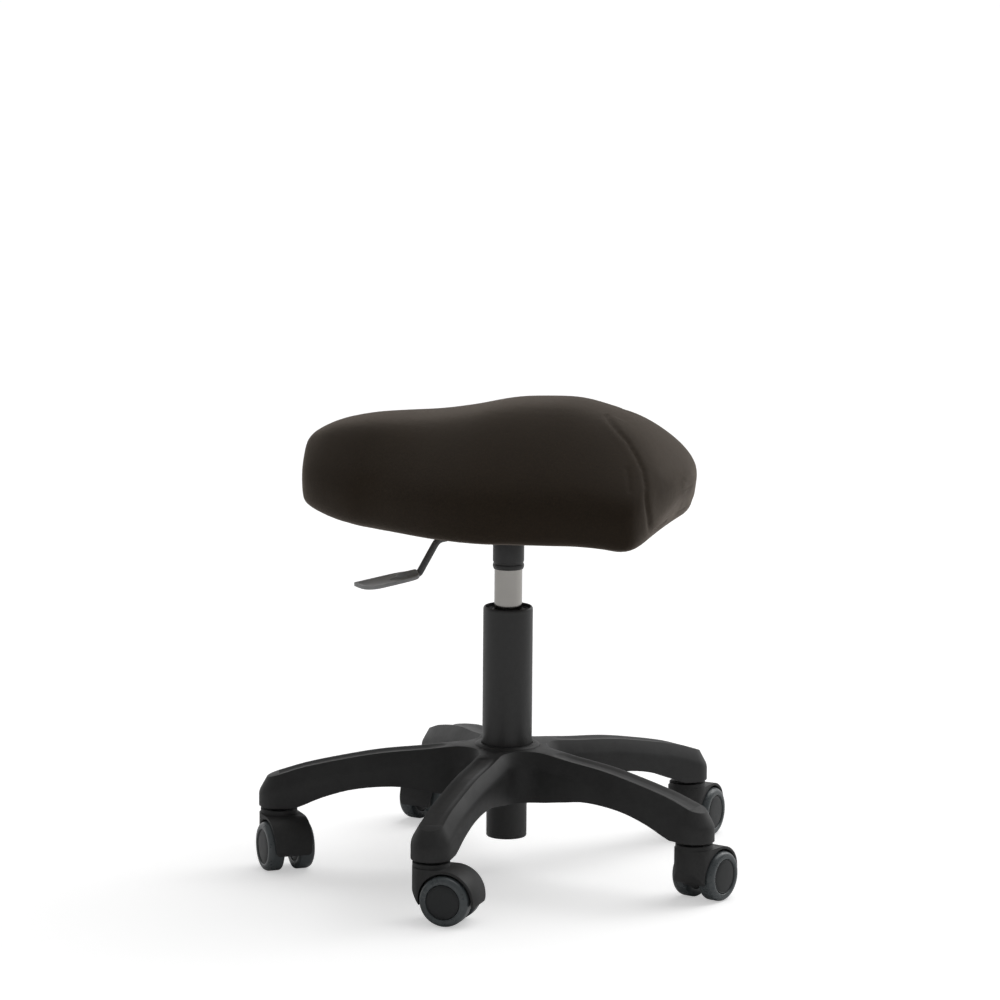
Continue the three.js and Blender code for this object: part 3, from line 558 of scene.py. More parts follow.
# Height of an arm's top and underside, from the reach along it
ARM_TOP = [(0, 127), (46, 127), (84, 123), (126, 119), (161, 113), (203, 104), (230, 95.5), (244, 91)]
ARM_UNDER = [
    (0, 77), (48, 77), (84, 82.2), (111, 86), (153, 83), (186, 74), (212, 63), (222, 62), (260, 62),
]
ARM_STATIONS = [60 + 9 * i for i in range(18)]
FILLET_STEPS = 8
BOSS_STEPS = 9
# Roundings of the top band's edge, the shoulder and the lower edge
TOP_ROUND, SHOULDER_ROUND, LOW_ROUND = 1.8, 3.2, 1.4
# The pockets under an arm: from and to along it, half-width, its share at the roof, and the roof's wall
POCKETS = [(82.8, 115), (120.8, 151.8), (157.6, 184)]
POCKET_HALF, POCKET_TAPER, POCKET_ROOF = 15.5, 0.77, 9
# The trough on top of an arm: from and to along it, half-width, depth, and its sloping rim
TROUGH_START, TROUGH_END = 68, 233
TROUGH_HALF, TROUGH_DEPTH = 6.6, 1.7
RIM_OUT, RIM_WIDTH = 1.6, 3.6
COLUMN_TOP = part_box("outer_column")[1].z / MM
COLUMN_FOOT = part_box("outer_column")[0].z / MM - 2.2


def arm_top(reach):
    return smooth_table(ARM_TOP, reach, 1)


def arm_shoulder(reach):
    return arm_top(min(reach, ARM_TOP[-1][0])) - SHOULDER_DROP


def arm_under(reach):
    return smooth_table(ARM_UNDER, reach, 1)


def arm_side(inset):
    """One side of an arm in plan, from the middle of the web to the tip of the boss, in mm."""
    sector = pi / 5
    centre_reach = (ARM_HALF + WEB_FILLET) / sin(sector)
    centre = Vector((centre_reach * cos(sector), ARM_HALF + WEB_FILLET))
    radius = WEB_FILLET + inset
    points = []
    for step in range(FILLET_STEPS + 1):
        angle = pi + sector + (QUARTER - sector) * step / FILLET_STEPS
        points.append(centre + radius * heading(angle))
    points += [Vector((reach, ARM_HALF - inset)) for reach in ARM_STATIONS]
    radius = BOSS_RADIUS - inset
    boss = arc((STEM_REACH, 0), (radius, radius), QUARTER, 0, BOSS_STEPS)
    return points + [Vector(point) for point in boss]


def star_ring(bm, inset, height):
    """One closed loop round all five arms; height gives z from the reach along an arm."""
    side = arm_side(inset)
    half = len(side)
    points = []
    for angle in ARM_ANGLES:
        along = heading(angle)
        across = Vector((-along.y, along.x))
        for step in range(2 * half - 2):
            near = side[step] if step < half else side[2 * half - 2 - step]
            sign = -1 if step < half else 1
            place = along * near.x + across * near.y * sign
            points.append((place.x, place.y, height(near.x)))
    return edge_chain(bm, points, closed=True)


def split_across(ring):
    """Cuts the cap on a ring into strips that cross each arm."""
    per_arm = len(ring) // len(ARM_ANGLES)
    for start in range(0, len(ring), per_arm):
        for step in range(FILLET_STEPS, per_arm // 2):
            left = ring[start + step]
            right = ring[start + per_arm - step]
            shared = [f for f in left.link_faces if f in right.link_faces and f.calc_area() > 0]
            caps = [f for f in shared if len(f.verts) > 3]
            if caps:
                bmesh.utils.face_split(max(caps, key=lambda f: len(f.verts)), left, right)


def recess_depth(reach, across):
    """How far the shallow trough on top of an arm lies below its rim, in mm."""
    middle = min(max(reach, TROUGH_START), TROUGH_END)
    gap = Vector((reach - middle, across)).length - TROUGH_HALF
    blend = clamped((RIM_OUT - gap) / RIM_WIDTH)
    fade = clamped((reach - TROUGH_START + 10) / 22)
    return TROUGH_DEPTH * blend * blend * (3 - 2 * blend) * (0.45 + 0.55 * fade)


def press_trough(bm):
    """Divides the bands along the arms' tops and presses the trough into them."""
    hub_reach, least_area = 52, 60e-6
    bands = [
        face for face in bm.faces
        if face.normal.z > 0.7 and face.calc_center_median().xy.length > hub_reach * MM
        and face.calc_area() > least_area
    ]
    band_edges = list({edge for face in bands for edge in face.edges})
    bmesh.ops.subdivide_edges(bm, edges=band_edges, cuts=7, use_grid_fill=True)
    for vert in bm.verts:
        flat = vert.co.xy / MM
        height = vert.co.z / MM
        if height < 88 or flat.length < 50:
            continue
        along = max((heading(angle) for angle in ARM_ANGLES), key=flat.dot)
        reach = flat.dot(along)
        across = flat.x * along.y - flat.y * along.x
        if abs(across) < ARM_HALF - BAND_INSET - 0.2 and height > arm_top(reach) - 3:
            vert.co.z -= recess_depth(reach, across) * MM


def rib_pocket(start, end):
    """The space between two cross ribs under an arm that lies along +X, narrower at its roof."""
    floor = 55
    roof = min(arm_top(start), arm_top(end)) - POCKET_ROOF
    half = POCKET_HALF
    bm = prism([(start, -half), (end, -half), (end, half), (start, half)], floor, roof)
    for vert in bm.verts:
        if vert.co.z > (floor + 1) * MM:
            vert.co.y *= POCKET_TAPER
    return bm


def star_base():
    bm = bmesh.new()
    low_ring, low_edges = star_ring(bm, 0, arm_under)
    _, shoulder_edges = star_ring(bm, 0, arm_shoulder)
    top_ring, top_edges = star_ring(bm, BAND_INSET, arm_top)
    bmesh.ops.bridge_loops(bm, edges=low_edges + shoulder_edges)
    bmesh.ops.bridge_loops(bm, edges=shoulder_edges + top_edges)
    bm.faces.new(top_ring)
    split_across(top_ring)
    bm.faces.new(list(reversed(low_ring)))
    split_across(low_ring)
    face_out(bm)
    rounding = [(top_edges, TOP_ROUND), (shoulder_edges, SHOULDER_ROUND), (low_edges, LOW_ROUND)]
    for edges, width in rounding:
        bevelled(bm, [edge for edge in edges if edge.is_valid], width, 3)
    press_trough(bm)
    ring = spun(rounded(lifted(HUB_TOP, [
        (0, -12), (HUB_RING, -12), (HUB_RING, 0.6), (HUB_RING - 3.2, 2.2), (0, 2.2),
    ]), 1.2, corners=[2, 3]), WIDE)
    play, lead_in = 0.3, 1.3
    bore = spun([
        (0, COLUMN_FOOT - 3), (FOOT_RADIUS + play, COLUMN_FOOT - 3), (FOOT_RADIUS + play, CONE_LOW),
        (COLUMN_RADIUS + play, CONE_HIGH),
    ] + lifted(HUB_TOP, [
        (COLUMN_RADIUS + play, 1), (COLUMN_RADIUS + lead_in, 2.4), (COLUMN_RADIUS + lead_in, 20),
        (0, 20),
    ]), WIDE)
    cuts = []
    for angle in ARM_ANGLES:
        turn = turned(angle)
        at_boss = turn @ Matrix.Translation((STEM_REACH * MM, 0, 0))
        cuts.append(moved(plug(STEM_HOLE, 50, 86, HOLE), at_boss))
        for start, end in POCKETS:
            cuts.append(moved(rib_pocket(start, end), turn))
    steps = [("UNION", ring), ("DIFFERENCE", bore), ("DIFFERENCE", merged(cuts))]
    return combined(bm, steps, tidy=False)


piece("star_base_moulding", star_base(), "base", nylon, ["star_base"], sharp=48)

# Column and gas lift

WALL_IN, FOOT_IN = 23.0, 17.9  # inner radii of the tube and of its foot
CLIP_LOW, CLIP_HIGH = 41, 44  # the plate across the foot that holds the piston rod
ROD_HOLE = 5.6
foot = lifted(COLUMN_FOOT, [
    (FOOT_IN, 0.8), (19.1, 0), (19.7, 0), (FOOT_RADIUS, 0.9), (FOOT_RADIUS, 2.4), (20.15, 2.8),
    (20.15, 3.2), (FOOT_RADIUS, 3.6),
])
cone = [(FOOT_RADIUS, CONE_LOW), (COLUMN_RADIUS, CONE_HIGH)]
mouth = lifted(COLUMN_TOP, [
    (COLUMN_RADIUS, -3.4), (24.9, -1.9), (24.5, -0.8), (23.9, -0.15), (23.4, 0), (WALL_IN, -0.3),
])
inside = [
    (WALL_IN, CONE_HIGH), (FOOT_IN, CONE_LOW), (FOOT_IN, CLIP_HIGH), (ROD_HOLE, CLIP_HIGH),
    (ROD_HOLE, CLIP_LOW), (FOOT_IN, CLIP_LOW),
]
column = spun(foot + cone + mouth + inside, WIDE)
piece("column_tube", column, "base", coated, ["outer_column"])

DIMPLE_COUNT = 12
DIMPLE_RADIUS = 1.15
DIMPLE_UP = 7


def crimp(index):
    """One small punched dimple in the column's foot."""
    bm = bmesh.new()
    bmesh.ops.create_uvsphere(bm, u_segments=14, v_segments=8, radius=DIMPLE_RADIUS * MM)
    bmesh.ops.scale(bm, verts=bm.verts, vec=(0.16, 1.0, 1.25))
    bmesh.ops.translate(bm, verts=bm.verts, vec=(FOOT_RADIUS * MM, 0, (COLUMN_FOOT + DIMPLE_UP) * MM))
    return moved(bm, turned(FULL_TURN * (index + 0.5) / DIMPLE_COUNT))


crimps = merged([crimp(i) for i in range(DIMPLE_COUNT)])
piece("column_crimps", crimps, "base", coated)

bush_low, bush_high = (corner.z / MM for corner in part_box("guide_bush"))
bush = spun([(14.3, bush_low), (22.7, bush_low)] + lifted(bush_high, [
    (22.7, -0.8), (21.9, 0), (20.4, 0), (19.8, -1.4), (17.2, -1.4), (16.6, -0.2), (15, -0.2),
    (14.3, -0.9),
]), WIDE)
piece("bush_ring", bush, "base", nylon, ["guide_bush"], sharp=35)

tube_low, tube_high = (corner.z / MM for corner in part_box("gas_cylinder"))
gas_tube = spun([(12.5, tube_low), (13.5, tube_low), (14, tube_low + 0.6)] + lifted(tube_high, [
    (14, -33), (13.2, -0.6), (12.8, 0), (4.2, 0), (4.2, -19), (12.5, -19),
]), WIDE)
piece("gas_tube", gas_tube, "seat", chrome, ["gas_cylinder"], sharp=35)

socket_low, socket_high = (corner.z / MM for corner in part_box("cone_socket"))
socket = spun(rounded(lifted(socket_low, [
    (14.3, 0.4), (14.7, 0), (14.95, 0), (15.75, 2.4), (15.75, 4.6), (15.15, 5.0), (15.15, 7.3),
    (15.75, 7.8),
]) + [(15.75, socket_high), (14.3, socket_high)], 0.35, steps=2), WIDE)
piece("socket_sleeve", socket, "seat", coated, ["cone_socket"], sharp=35)

# Castors, drawn at the origin with the wheels trailing along +X

TRAIL = 20
WHEEL_RADIUS = 25
WHEEL_FACETS = 80
AXLE_HOLE = 3.3
HOOD_INNER = 27.2
HOOD_OUTER = 29.8
HOOD_HALF = 20
HOOD_EDGE = 20  # height of the hood's trailing edge, whose lower corners have this radius:
HOOD_CORNER = 3.2
NECK_RADIUS = 18.5
NECK_TOP = 59
BOSS_END = 29
LOBE_TOP = 36
LOBE_BOTTOM = 15
LOBE_DEPTH = 21.5
LOBE_STEPS = 14
# The front of the housing below its neck: shares of the lobe's height, then of its depth
LOBE = [(0, 0), (0.12, 0.03), (0.286, 0.15), (0.667, 0.44), (0.876, 0.62), (0.97, 0.79), (1, 1)]
# Half-width of the housing at each height
FLARE = [(17, 5), (17, 11), (18.2, 24), (19.3, 36), (HOOD_HALF, 46), (HOOD_HALF, 64)]
WEB_HALF = 7.8
PAST = 70  # far enough to be outside the castor
# Sections of a tread and of a wheel's core with its cap: radius, and distance from the castor's middle
TREAD = [
    (17.3, 8.3), (23.6, 8.3), (24.5, 8.7), (24.95, 9.6), (25, 11), (25, 18.6), (24.85, 20.2),
    (24.3, 21.8), (23.4, 23.1), (22.1, 24), (20.6, 24.4), (19.2, 24.45), (18.1, 24.3), (17.5, 23.9),
    (17.3, 23.2),
]
CORE = [
    (AXLE_HOLE, 8.3), (8, 8.3), (8.4, 8.7), (15.8, 8.7), (16.9, 9.2), (17, 10), (17, 22.7),
    (16.8, 23.4), (16.3, 23.6), (15.8, 23.3), (15.3, 23.5), (14.2, 23.8), (11, 24.2), (6.5, 24.42),
    (0, 24.5), (0, 20), (AXLE_HOLE, 20),
]


def about_axle(bm, side=1):
    """Lays a form that is drawn about Z on the castor's axle, its top to one side."""
    turn = turned(-pi / 2 * side, "X")
    return moved(bm, Matrix.Translation((TRAIL * MM, 0, WHEEL_RADIUS * MM)) @ turn)


def cross_disc(radius, low, high, steps):
    """A disc about the castor's axle, between two distances from its middle plane."""
    return about_axle(plug(radius, low, high, steps))


def hood_corner(side):
    """What rounds off a lower corner of the hood's trailing edge."""
    inner, outer = 14.9, 18.8
    round_top = HOOD_EDGE + HOOD_CORNER
    outline = [(outer, HOOD_EDGE - 1), (inner, HOOD_EDGE - 1)]
    outline += arc((inner, round_top), (HOOD_CORNER, HOOD_CORNER), -QUARTER, 0, 6)
    outline.append((outer, round_top))
    return moved(prism([(side * y, z) for y, z in outline], BOSS_END + 1, PAST), ALONG)


def housing_side():
    """The housing seen from the side: neck, lobe in front, flat bottom and round hood."""
    side = [(-NECK_RADIUS, NECK_TOP), (-NECK_RADIUS, LOBE_TOP)]
    for step in range(1, LOBE_STEPS + 1):
        down = step / LOBE_STEPS
        depth = LOBE_DEPTH * smooth_table(LOBE, down, 1)
        side.append((depth - NECK_RADIUS, LOBE_TOP - (LOBE_TOP - LOBE_BOTTOM) * down))
    side += [(BOSS_END, LOBE_BOTTOM), (BOSS_END, HOOD_EDGE)]
    low = asin((HOOD_EDGE - WHEEL_RADIUS) / HOOD_OUTER)
    high = acos((NECK_RADIUS - TRAIL) / HOOD_OUTER)
    side += arc((TRAIL, WHEEL_RADIUS), (HOOD_OUTER, HOOD_OUTER), low, high, 24)
    return side + [(NECK_RADIUS, NECK_TOP)]


def housing_plan():
    """The housing seen from above: round in front, with its two back corners taken off."""
    plan = arc((0, 0), (NECK_RADIUS, HOOD_HALF), QUARTER, 3 * QUARTER, 32)
    end, corner = TRAIL + HOOD_OUTER + 2, 5
    back = [(end - corner, HOOD_HALF), (end - 1.4, HOOD_HALF - 1.6), (end, HOOD_HALF - corner)]
    return plan + [(x, -y) for x, y in back] + list(reversed(back))


def housing():
    body = moved(prism(housing_side(), -HOOD_HALF - 1, HOOD_HALF + 1), UPRIGHT)
    taper = FLARE + [(-y, z) for y, z in reversed(FLARE)]
    shoulder = WHEEL_RADIUS + HOOD_OUTER
    play, out = 0.3, 30
    front = moved(prism([(-60, 11), (TRAIL, 11), (TRAIL, PAST), (-60, PAST)], -out, out), UPRIGHT)
    slot = combined(
        cross_disc(HOOD_INNER, -WEB_HALF - play, WEB_HALF + play, WIDE),
        [("DIFFERENCE", cross_disc(9, -out, out, SMALL)), ("DIFFERENCE", front)],
        tidy=False,
    )
    above = spun([(NECK_RADIUS, shoulder), (PAST, shoulder), (PAST, PAST), (NECK_RADIUS, PAST)], WIDE)
    body = combined(body, [
        ("INTERSECT", prism(housing_plan(), 2, NECK_TOP + 4)),
        ("INTERSECT", moved(prism(taper, -PAST, PAST), ALONG)),
        ("DIFFERENCE", above),
        ("DIFFERENCE", cross_disc(HOOD_INNER, WEB_HALF, out, WIDE)),
        ("DIFFERENCE", cross_disc(HOOD_INNER, -out, -WEB_HALF, WIDE)),
        ("DIFFERENCE", slot),
        ("DIFFERENCE", merged([hood_corner(1), hood_corner(-1)])),
        ("DIFFERENCE", cross_disc(AXLE_HOLE, -out, out, HOLE)),
        ("DIFFERENCE", plug(STEM_HOLE, 36, PAST, HOLE)),
    ])
    return soften(body, 0.6, segments=2, over=38)


hood = housing()
for letter in CASTORS:
    place = castor_place(letter)
    body = f"castor_{letter}"
    shell = moved(hood.copy(), place)
    piece(f"{body}_hood", shell, body, nylon, [f"{body}_housing"], sharp=38)
    for side_name, side in SIDES.items():
        body = f"castor_{letter}_{side_name}"
        tyre, cap = (
            moved(about_axle(spun(section, WHEEL_FACETS), side), place) for section in (TREAD, CORE)
        )
        piece(f"{body}_tyre", tyre, body, soft_tread, [f"{body}_tread"], sharp=45)
        piece(f"{body}_cap", cap, body, hub_plastic, [f"{body}_wheel"], sharp=45)
hood.free()

# Release lever, drawn pointing along -X

PIVOT = Vector((-26, 0, 348.5))
KNEE = Vector((-81.5, 0, 343.5))
ELBOW = Vector((-102.5, 0, 311.2))
ROD_START = Vector((3, 0, 348.8))
ROD_RADIUS = 3.5
KNEE_BEND, ELBOW_BEND = 7, 2.5
PIN_HOLE = 3.3
GRIP_SLOPE = radians(6.8)
GRIP_REACH = 17
GRIP = Vector((-cos(GRIP_SLOPE), 0, -sin(GRIP_SLOPE)))


def lever_route():
    """Points along the rod's centre line, its bends rounded."""
    end = ELBOW + GRIP * GRIP_REACH
    points = [ROD_START, PIVOT]
    bends = [(KNEE, PIVOT, ELBOW, KNEE_BEND), (ELBOW, KNEE, end, ELBOW_BEND)]
    for corner, before, after, bend in bends:
        start = corner + (before - corner).normalized() * bend
        stop = corner + (after - corner).normalized() * bend
        handles = (corner * 0.8 + start * 0.2, corner * 0.8 + stop * 0.2)
        points += interpolate_bezier(start, *handles, stop, 9)
    return points + [end]


def rod(points, radius, sides=24):
    """A round bar along points, made by sweeping a circle."""
    bm = bmesh.new()
    rings = []
    across = Vector((0, 1, 0))
    for i, point in enumerate(points):
        back = points[max(i - 1, 0)]
        ahead = points[min(i + 1, len(points) - 1)]
        up = (ahead - back).normalized().cross(across).normalized()
        ring = []
        for side in range(sides):
            angle = FULL_TURN * side / sides
            ring.append(point + radius * (cos(angle) * up + sin(angle) * across))
        rings.append(edge_chain(bm, ring, closed=True))
    return threaded(bm, rings)


def lever():
    at_pivot = Matrix.Translation(PIVOT * MM) @ UPRIGHT
    half, outer = 8.5, 5.5
    barrel = rounded([(PIN_HOLE, -half), (outer, -half), (outer, half), (PIN_HOLE, half)], 0.6, steps=2)
    whole = combined(rod(lever_route(), ROD_RADIUS), [
        ("UNION", moved(spun(barrel, SMALL), at_pivot)),
        ("DIFFERENCE", moved(plug(PIN_HOLE, -7, 7, SMALL), at_pivot)),
    ])
    return moved(whole, LEVER_TURN)


piece("lever_rod", lever(), "lever", lever_coat, ["release_lever"], sharp=35)

PADDLE_START = 2.8
PADDLE_LENGTH = 62.8
PADDLE_THICK = 3.4
PADDLE_TOP = 1.8
PADDLE_DISH = 1.1
# Half-width along the paddle, on the side towards the seat's front and on the other
PADDLE_NEAR = [
    (0, 5.8), (3.1, 10.6), (7.5, 13.8), (13.8, 15.4), (22.6, 16), (48.8, 16), (52.4, 15.5),
    (55.8, 14.1), (58.7, 11.9), (60.9, 9), (62.3, 5.6), (62.8, 3.4),
]
PADDLE_FAR = PADDLE_NEAR[:6] + [(59, 16), (61.6, 15.8), (62.8, 14.6)]
RIDGE_START, RIDGE_END = 4, 30


def blade():
    """The paddle's flat part, dished, with rounded edges."""
    bm = bmesh.new()
    bmesh.ops.create_grid(bm, x_segments=44, y_segments=16, size=1)
    for vert in bm.verts:
        share = (1 + vert.co.x) / 2
        along = PADDLE_LENGTH * (0.5 * share + 0.5 * (1 - (1 - share) ** 2))
        across = vert.co.y
        fade = clamped((along - 12) / 20) * min(1, (PADDLE_LENGTH - along) / 4)
        dish = -PADDLE_DISH * (1 - across * across) * fade
        half = smooth_table(PADDLE_NEAR if across > 0 else PADDLE_FAR, along, 1)
        vert.co = Vector((along, across * half, dish)) * MM
    face_out(bm)
    bmesh.ops.solidify(bm, geom=bm.faces[:], thickness=PADDLE_THICK * MM)
    highest = max(v.co.z for v in bm.verts)
    bmesh.ops.translate(bm, verts=bm.verts, vec=(0, 0, PADDLE_TOP * MM - highest))
    return soften(bm, 0.7, segments=3, over=50)


def ridge():
    """The rib that runs out from the socket on to the blade, lower and narrower at its far end."""
    near, far = 3.4, 0.7
    outline = [(RIDGE_START, -near), (RIDGE_END, -far), (RIDGE_END, far), (RIDGE_START, near)]
    bm = prism(outline, 0, 4.6)
    for vert in bm.verts:
        if vert.co.z > 0:
            vert.co.z = (4.9 - 3.4 * (vert.co.x / (RIDGE_END * MM))) * MM
            vert.co.y *= 0.4
    return bm


def paddle():
    lengthwise = turned(QUARTER, "Y")
    boss = rounded([(0, 0), (5.2, 0), (5.2, 17), (3.2, 22), (0, 22.6)], 1.2, steps=3, corners=[1, 2, 3])
    whole = combined(blade(), [
        ("UNION", moved(spun(boss, SMALL), lengthwise)),
        ("UNION", ridge()),
        ("DIFFERENCE", moved(plug(3.8, -4, 14.5, HOLE), lengthwise)),
    ], tidy=False)
    place = (
        Matrix.Translation((ELBOW + GRIP * PADDLE_START) * MM)
        @ turned(pi)
        @ turned(GRIP_SLOPE, "Y")
    )
    return moved(whole, LEVER_TURN @ place)


piece("lever_blade", paddle(), "lever", paddle_plastic, ["lever_paddle"], sharp=40)

# Seat carrier


def seat_pan():
    """The plate's CAD solid with its facets merged and its edges rounded."""
    bm = bmesh.new()
    bm.from_mesh(frame["nodes"]["seat_plate"].data)
    weld(bm)
    bmesh.ops.dissolve_limit(
        bm, angle_limit=radians(1), verts=bm.verts, edges=bm.edges, delimit={"NORMAL"}
    )
    return soften(bm, 0.9)


piece("seat_pan", seat_pan(), "seat", coated, ["seat_plate"], sharp=35)


def screw(number):
    """A flanged screw with a six-sided socket in its head."""
    low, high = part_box(f"seat_screw_{number}")
    centre = (low + high) / 2
    base = low.z / MM
    flange, shank, key = 6, 3, 2.9
    head = [(0, 0), (5.0, 0), (flange, 1.4), (flange, 3.3), (shank, 3.3), (shank, 13.4)]
    outline = lifted(base, head) + [(2.2, high.z / MM), (0, high.z / MM)]
    body = spun(rounded(outline, 0.6, steps=3, corners=[1, 2, 3]), SMALL)
    hexagon = [(key * cos(pi / 3 * i), key * sin(pi / 3 * i)) for i in range(6)]
    body = combined(body, [("DIFFERENCE", prism(hexagon, base - 2, base + 2.1))])
    return moved(body, Matrix.Translation((centre.x, centre.y, 0)))


for number in range(1, 5):
    piece(f"socket_screw_{number}", screw(number), "seat", zinc, [f"seat_screw_{number}"])

# Seat cushion. Along the seat from the column's axis: half-widths at the bottom, at the widest level and
# at the crest, then the heights of the bottom, the widest level and the ridge, and the crest's drop

SEAT_SECTIONS = [
    (-212, 9, 16, 6, 374, 397, 416, 2.0),
    (-208, 21, 32, 13, 368.5, 397, 430, 2.5),
    (-199, 34, 48, 17, 366, 396, 438.5, 3.0),
    (-177, 51, 67, 26, 361, 392.5, 449, 3.2),
    (-147, 67, 85, 34, 356.5, 388.5, 456, 3.4),
    (-115, 80, 97, 38, 354.8, 386.5, 459.5, 3.4),
    (-78, 100, 113, 40, 354, 386, 462.7, 3.2),
    (-42, 116, 127, 40, 353.5, 386, 468.7, 3.0),
    (0, 126.7, 135.6, 37, 353.5, 386, 478, 2.8),
    (40, 124, 134.2, 30, 354, 386, 481.6, 2.5),
    (69, 122, 132.2, 27, 354.5, 386.5, 481.6, 2.5),
    (99, 119.6, 130, 27, 355, 387, 475, 2.6),
    (128, 119, 128, 30, 353.5, 388.5, 465, 3.0),
    (145, 120, 126.5, 36, 352.5, 388, 455.3, 3.8),
    (158, 113, 121.5, 46, 355.5, 391, 444.7, 5.5),
    (168, 86, 101, 58, 368, 397, 433.5, 7.5),
    (175.5, 58, 76, 58, 382, 403, 424, 8.0),
    (181.5, 34, 49, 44, 392, 405, 416.3, 6.0),
    (185.5, 11, 18, 14, 399, 405, 410, 2.0),
]
SECTION_STEPS = 6
STATION_COUNT = 56
CROWDED, EVEN = 0.55, 0.45  # shares of two spacings: closer at the seat's ends, and even


def section_loop(along):
    """A closed cross section on a smooth curve through its control points, in mm."""
    low, wide, crest, under, level, ridge, drop = (
        smooth_table(SEAT_SECTIONS, along, column) for column in range(1, 8)
    )
    crest_height = ridge - drop
    side_width = wide - crest
    side_height = crest_height - level
    half = [
        (low * 0.6, under - 1),
        (low * 1.02, under - 2.5),
        (low + (wide - low) * 0.85, under + (level - under) * 0.2),
        (wide * 1.012, level - (level - under) * 0.25),
        (wide * 1.005, level + side_height * 0.16),
        (crest + side_width * 0.74, level + side_height * 0.48),
        (crest + side_width * 0.40, level + side_height * 0.80),
        (crest + side_width * 0.13, crest_height - side_height * 0.015),
        (crest * 0.62, ridge - drop * 0.3),
    ]
    control = [(0, under)] + half + [(0, ridge)] + [(-y, z) for y, z in reversed(half)]
    count = len(control)
    loop = []
    for i in range(count):
        p = [Vector(control[(i + k - 1) % count]) for k in range(4)]
        for step in range(SECTION_STEPS):
            t = step / SECTION_STEPS
            point = (
                p[0] * (1 - t) ** 3
                + p[1] * (3 * t**3 - 6 * t**2 + 4)
                + p[2] * (-3 * t**3 + 3 * t**2 + 3 * t + 1)
                + p[3] * t**3
            ) / 6
            loop.append((along, point.x, point.y))
    return loop


def cushion_form():
    bm = bmesh.new()
    first, last = SEAT_SECTIONS[0][0], SEAT_SECTIONS[-1][0]
    rings = []
    for i in range(STATION_COUNT + 1):
        crowded = (1 - cos(pi * i / STATION_COUNT)) / 2
        share = CROWDED * crowded + EVEN * i / STATION_COUNT
        rings.append(edge_chain(bm, section_loop(first + (last - first) * share), closed=True))
    return threaded(bm, rings)


def even_mesh(obj, voxel):
    """Gives the form an even mesh."""
    remesh = obj.modifiers.new("remesh", "REMESH")
    remesh.mode = "VOXEL"
    remesh.voxel_size = voxel
    graph = bpy.context.evaluated_depsgraph_get()
    even = bpy.data.meshes.new_from_object(obj.evaluated_get(graph))
    obj.modifiers.clear()
    obj.data = even


def settle(obj, pressure, cap, frames=20):
    """Lets the cover settle under a little pressure, and caps how far each vertex moves, in metres."""
    verts = obj.data.vertices
    start = [vert.co.copy() for vert in verts]
    cloth = obj.modifiers.new("cloth", "CLOTH")
    settings = cloth.settings
    settings.use_pressure = True
    settings.uniform_pressure_force = pressure
    settings.effector_weights.gravity = 0
    settings.mass = 0.3
    settings.tension_stiffness = settings.compression_stiffness = 25
    settings.shear_stiffness = 12
    settings.bending_stiffness = 1.5
    cloth.collision_settings.use_collision = False
    scene = bpy.context.scene
    for step in range(1, frames + 1):
        scene.frame_set(step)
    graph = bpy.context.evaluated_depsgraph_get()
    blown = obj.evaluated_get(graph).to_mesh()
    places = [vert.co.copy() for vert in blown.vertices]
    obj.evaluated_get(graph).to_mesh_clear()
    obj.modifiers.clear()
    scene.frame_set(1)
    for vert, was, now in zip(verts, start, places):
        shift = now - was
        if shift.length > cap:
            shift *= cap / shift.length
        vert.co = was + shift


def cushion():
    obj = mesh_object(cushion_form(), "cushion_form")
    bpy.context.view_layer.objects.active = obj
    even_mesh(obj, 0.0045)
    settle(obj, 4.0, 0.0011)
    soft = bmesh.new()
    soft.from_mesh(obj.data)
    discard(obj)
    for _ in range(2):
        bmesh.ops.smooth_vert(
            soft, verts=soft.verts, factor=0.5, use_axis_x=True, use_axis_y=True, use_axis_z=True
        )
    bmesh.ops.subdivide_edges(soft, edges=soft.edges[:], cuts=1, use_grid_fill=True, smooth=1.0)
    return soft


# The side seam, from the crest down to the bottom edge: along the seat and height, in mm
SEAM = [
    (106, 472), (118, 464), (135, 452), (148, 439), (157, 428), (163, 415), (166, 400), (167.5, 385),
    (167.5, 366), (166, 352),
]
# A short tuck beside it
TUCK = [(143, 430), (147, 422), (151, 412)]
# The seams keep this far from the middle and lie past this place along the seat
SEAM_INNER, SEAM_START = 22, 80
# How far from a seam the cover is pressed
SEAM_REACH = 14


def seam_gap(point, seam):
    """Distance in mm from a seam, and which side of it the point lies on."""
    best, side = inf, 0
    for one, two in zip(seam, seam[1:]):
        start = Vector(one)
        run = Vector(two) - start
        t = clamped((point - start).dot(run) / run.length_squared)
        gap = (point - start - run * t).length
        if gap < best:
            best, side = gap, run.cross(point - start)
    return best, side


def falloff(gap, width):
    """1 at a seam, and less over a width in mm on either side."""
    return exp(-(gap / width) ** 2)


def sew(bm):
    """Presses the side seams and their tucks into the cover."""
    bm.normal_update()
    shifts = []
    for vert in bm.verts:
        along, across, height = vert.co / MM
        if abs(across) < SEAM_INNER or along < SEAM_START:
            continue
        place = Vector((along, height))
        gap, side = seam_gap(place, SEAM)
        if gap > SEAM_REACH:
            continue
        groove = -1.0 * falloff(gap, 1.3)
        swell = 0.2 * falloff(gap - 3.5, 2.2)
        lift = 0.35 * falloff(gap, 3.5) * (1 if side > 0 else -0.2)
        tuck = -0.8 * falloff(seam_gap(place, TUCK)[0], 1.6)
        shifts.append((vert, vert.normal * (groove + swell + lift + tuck) * MM))
    for vert, shift in shifts:
        vert.co += shift


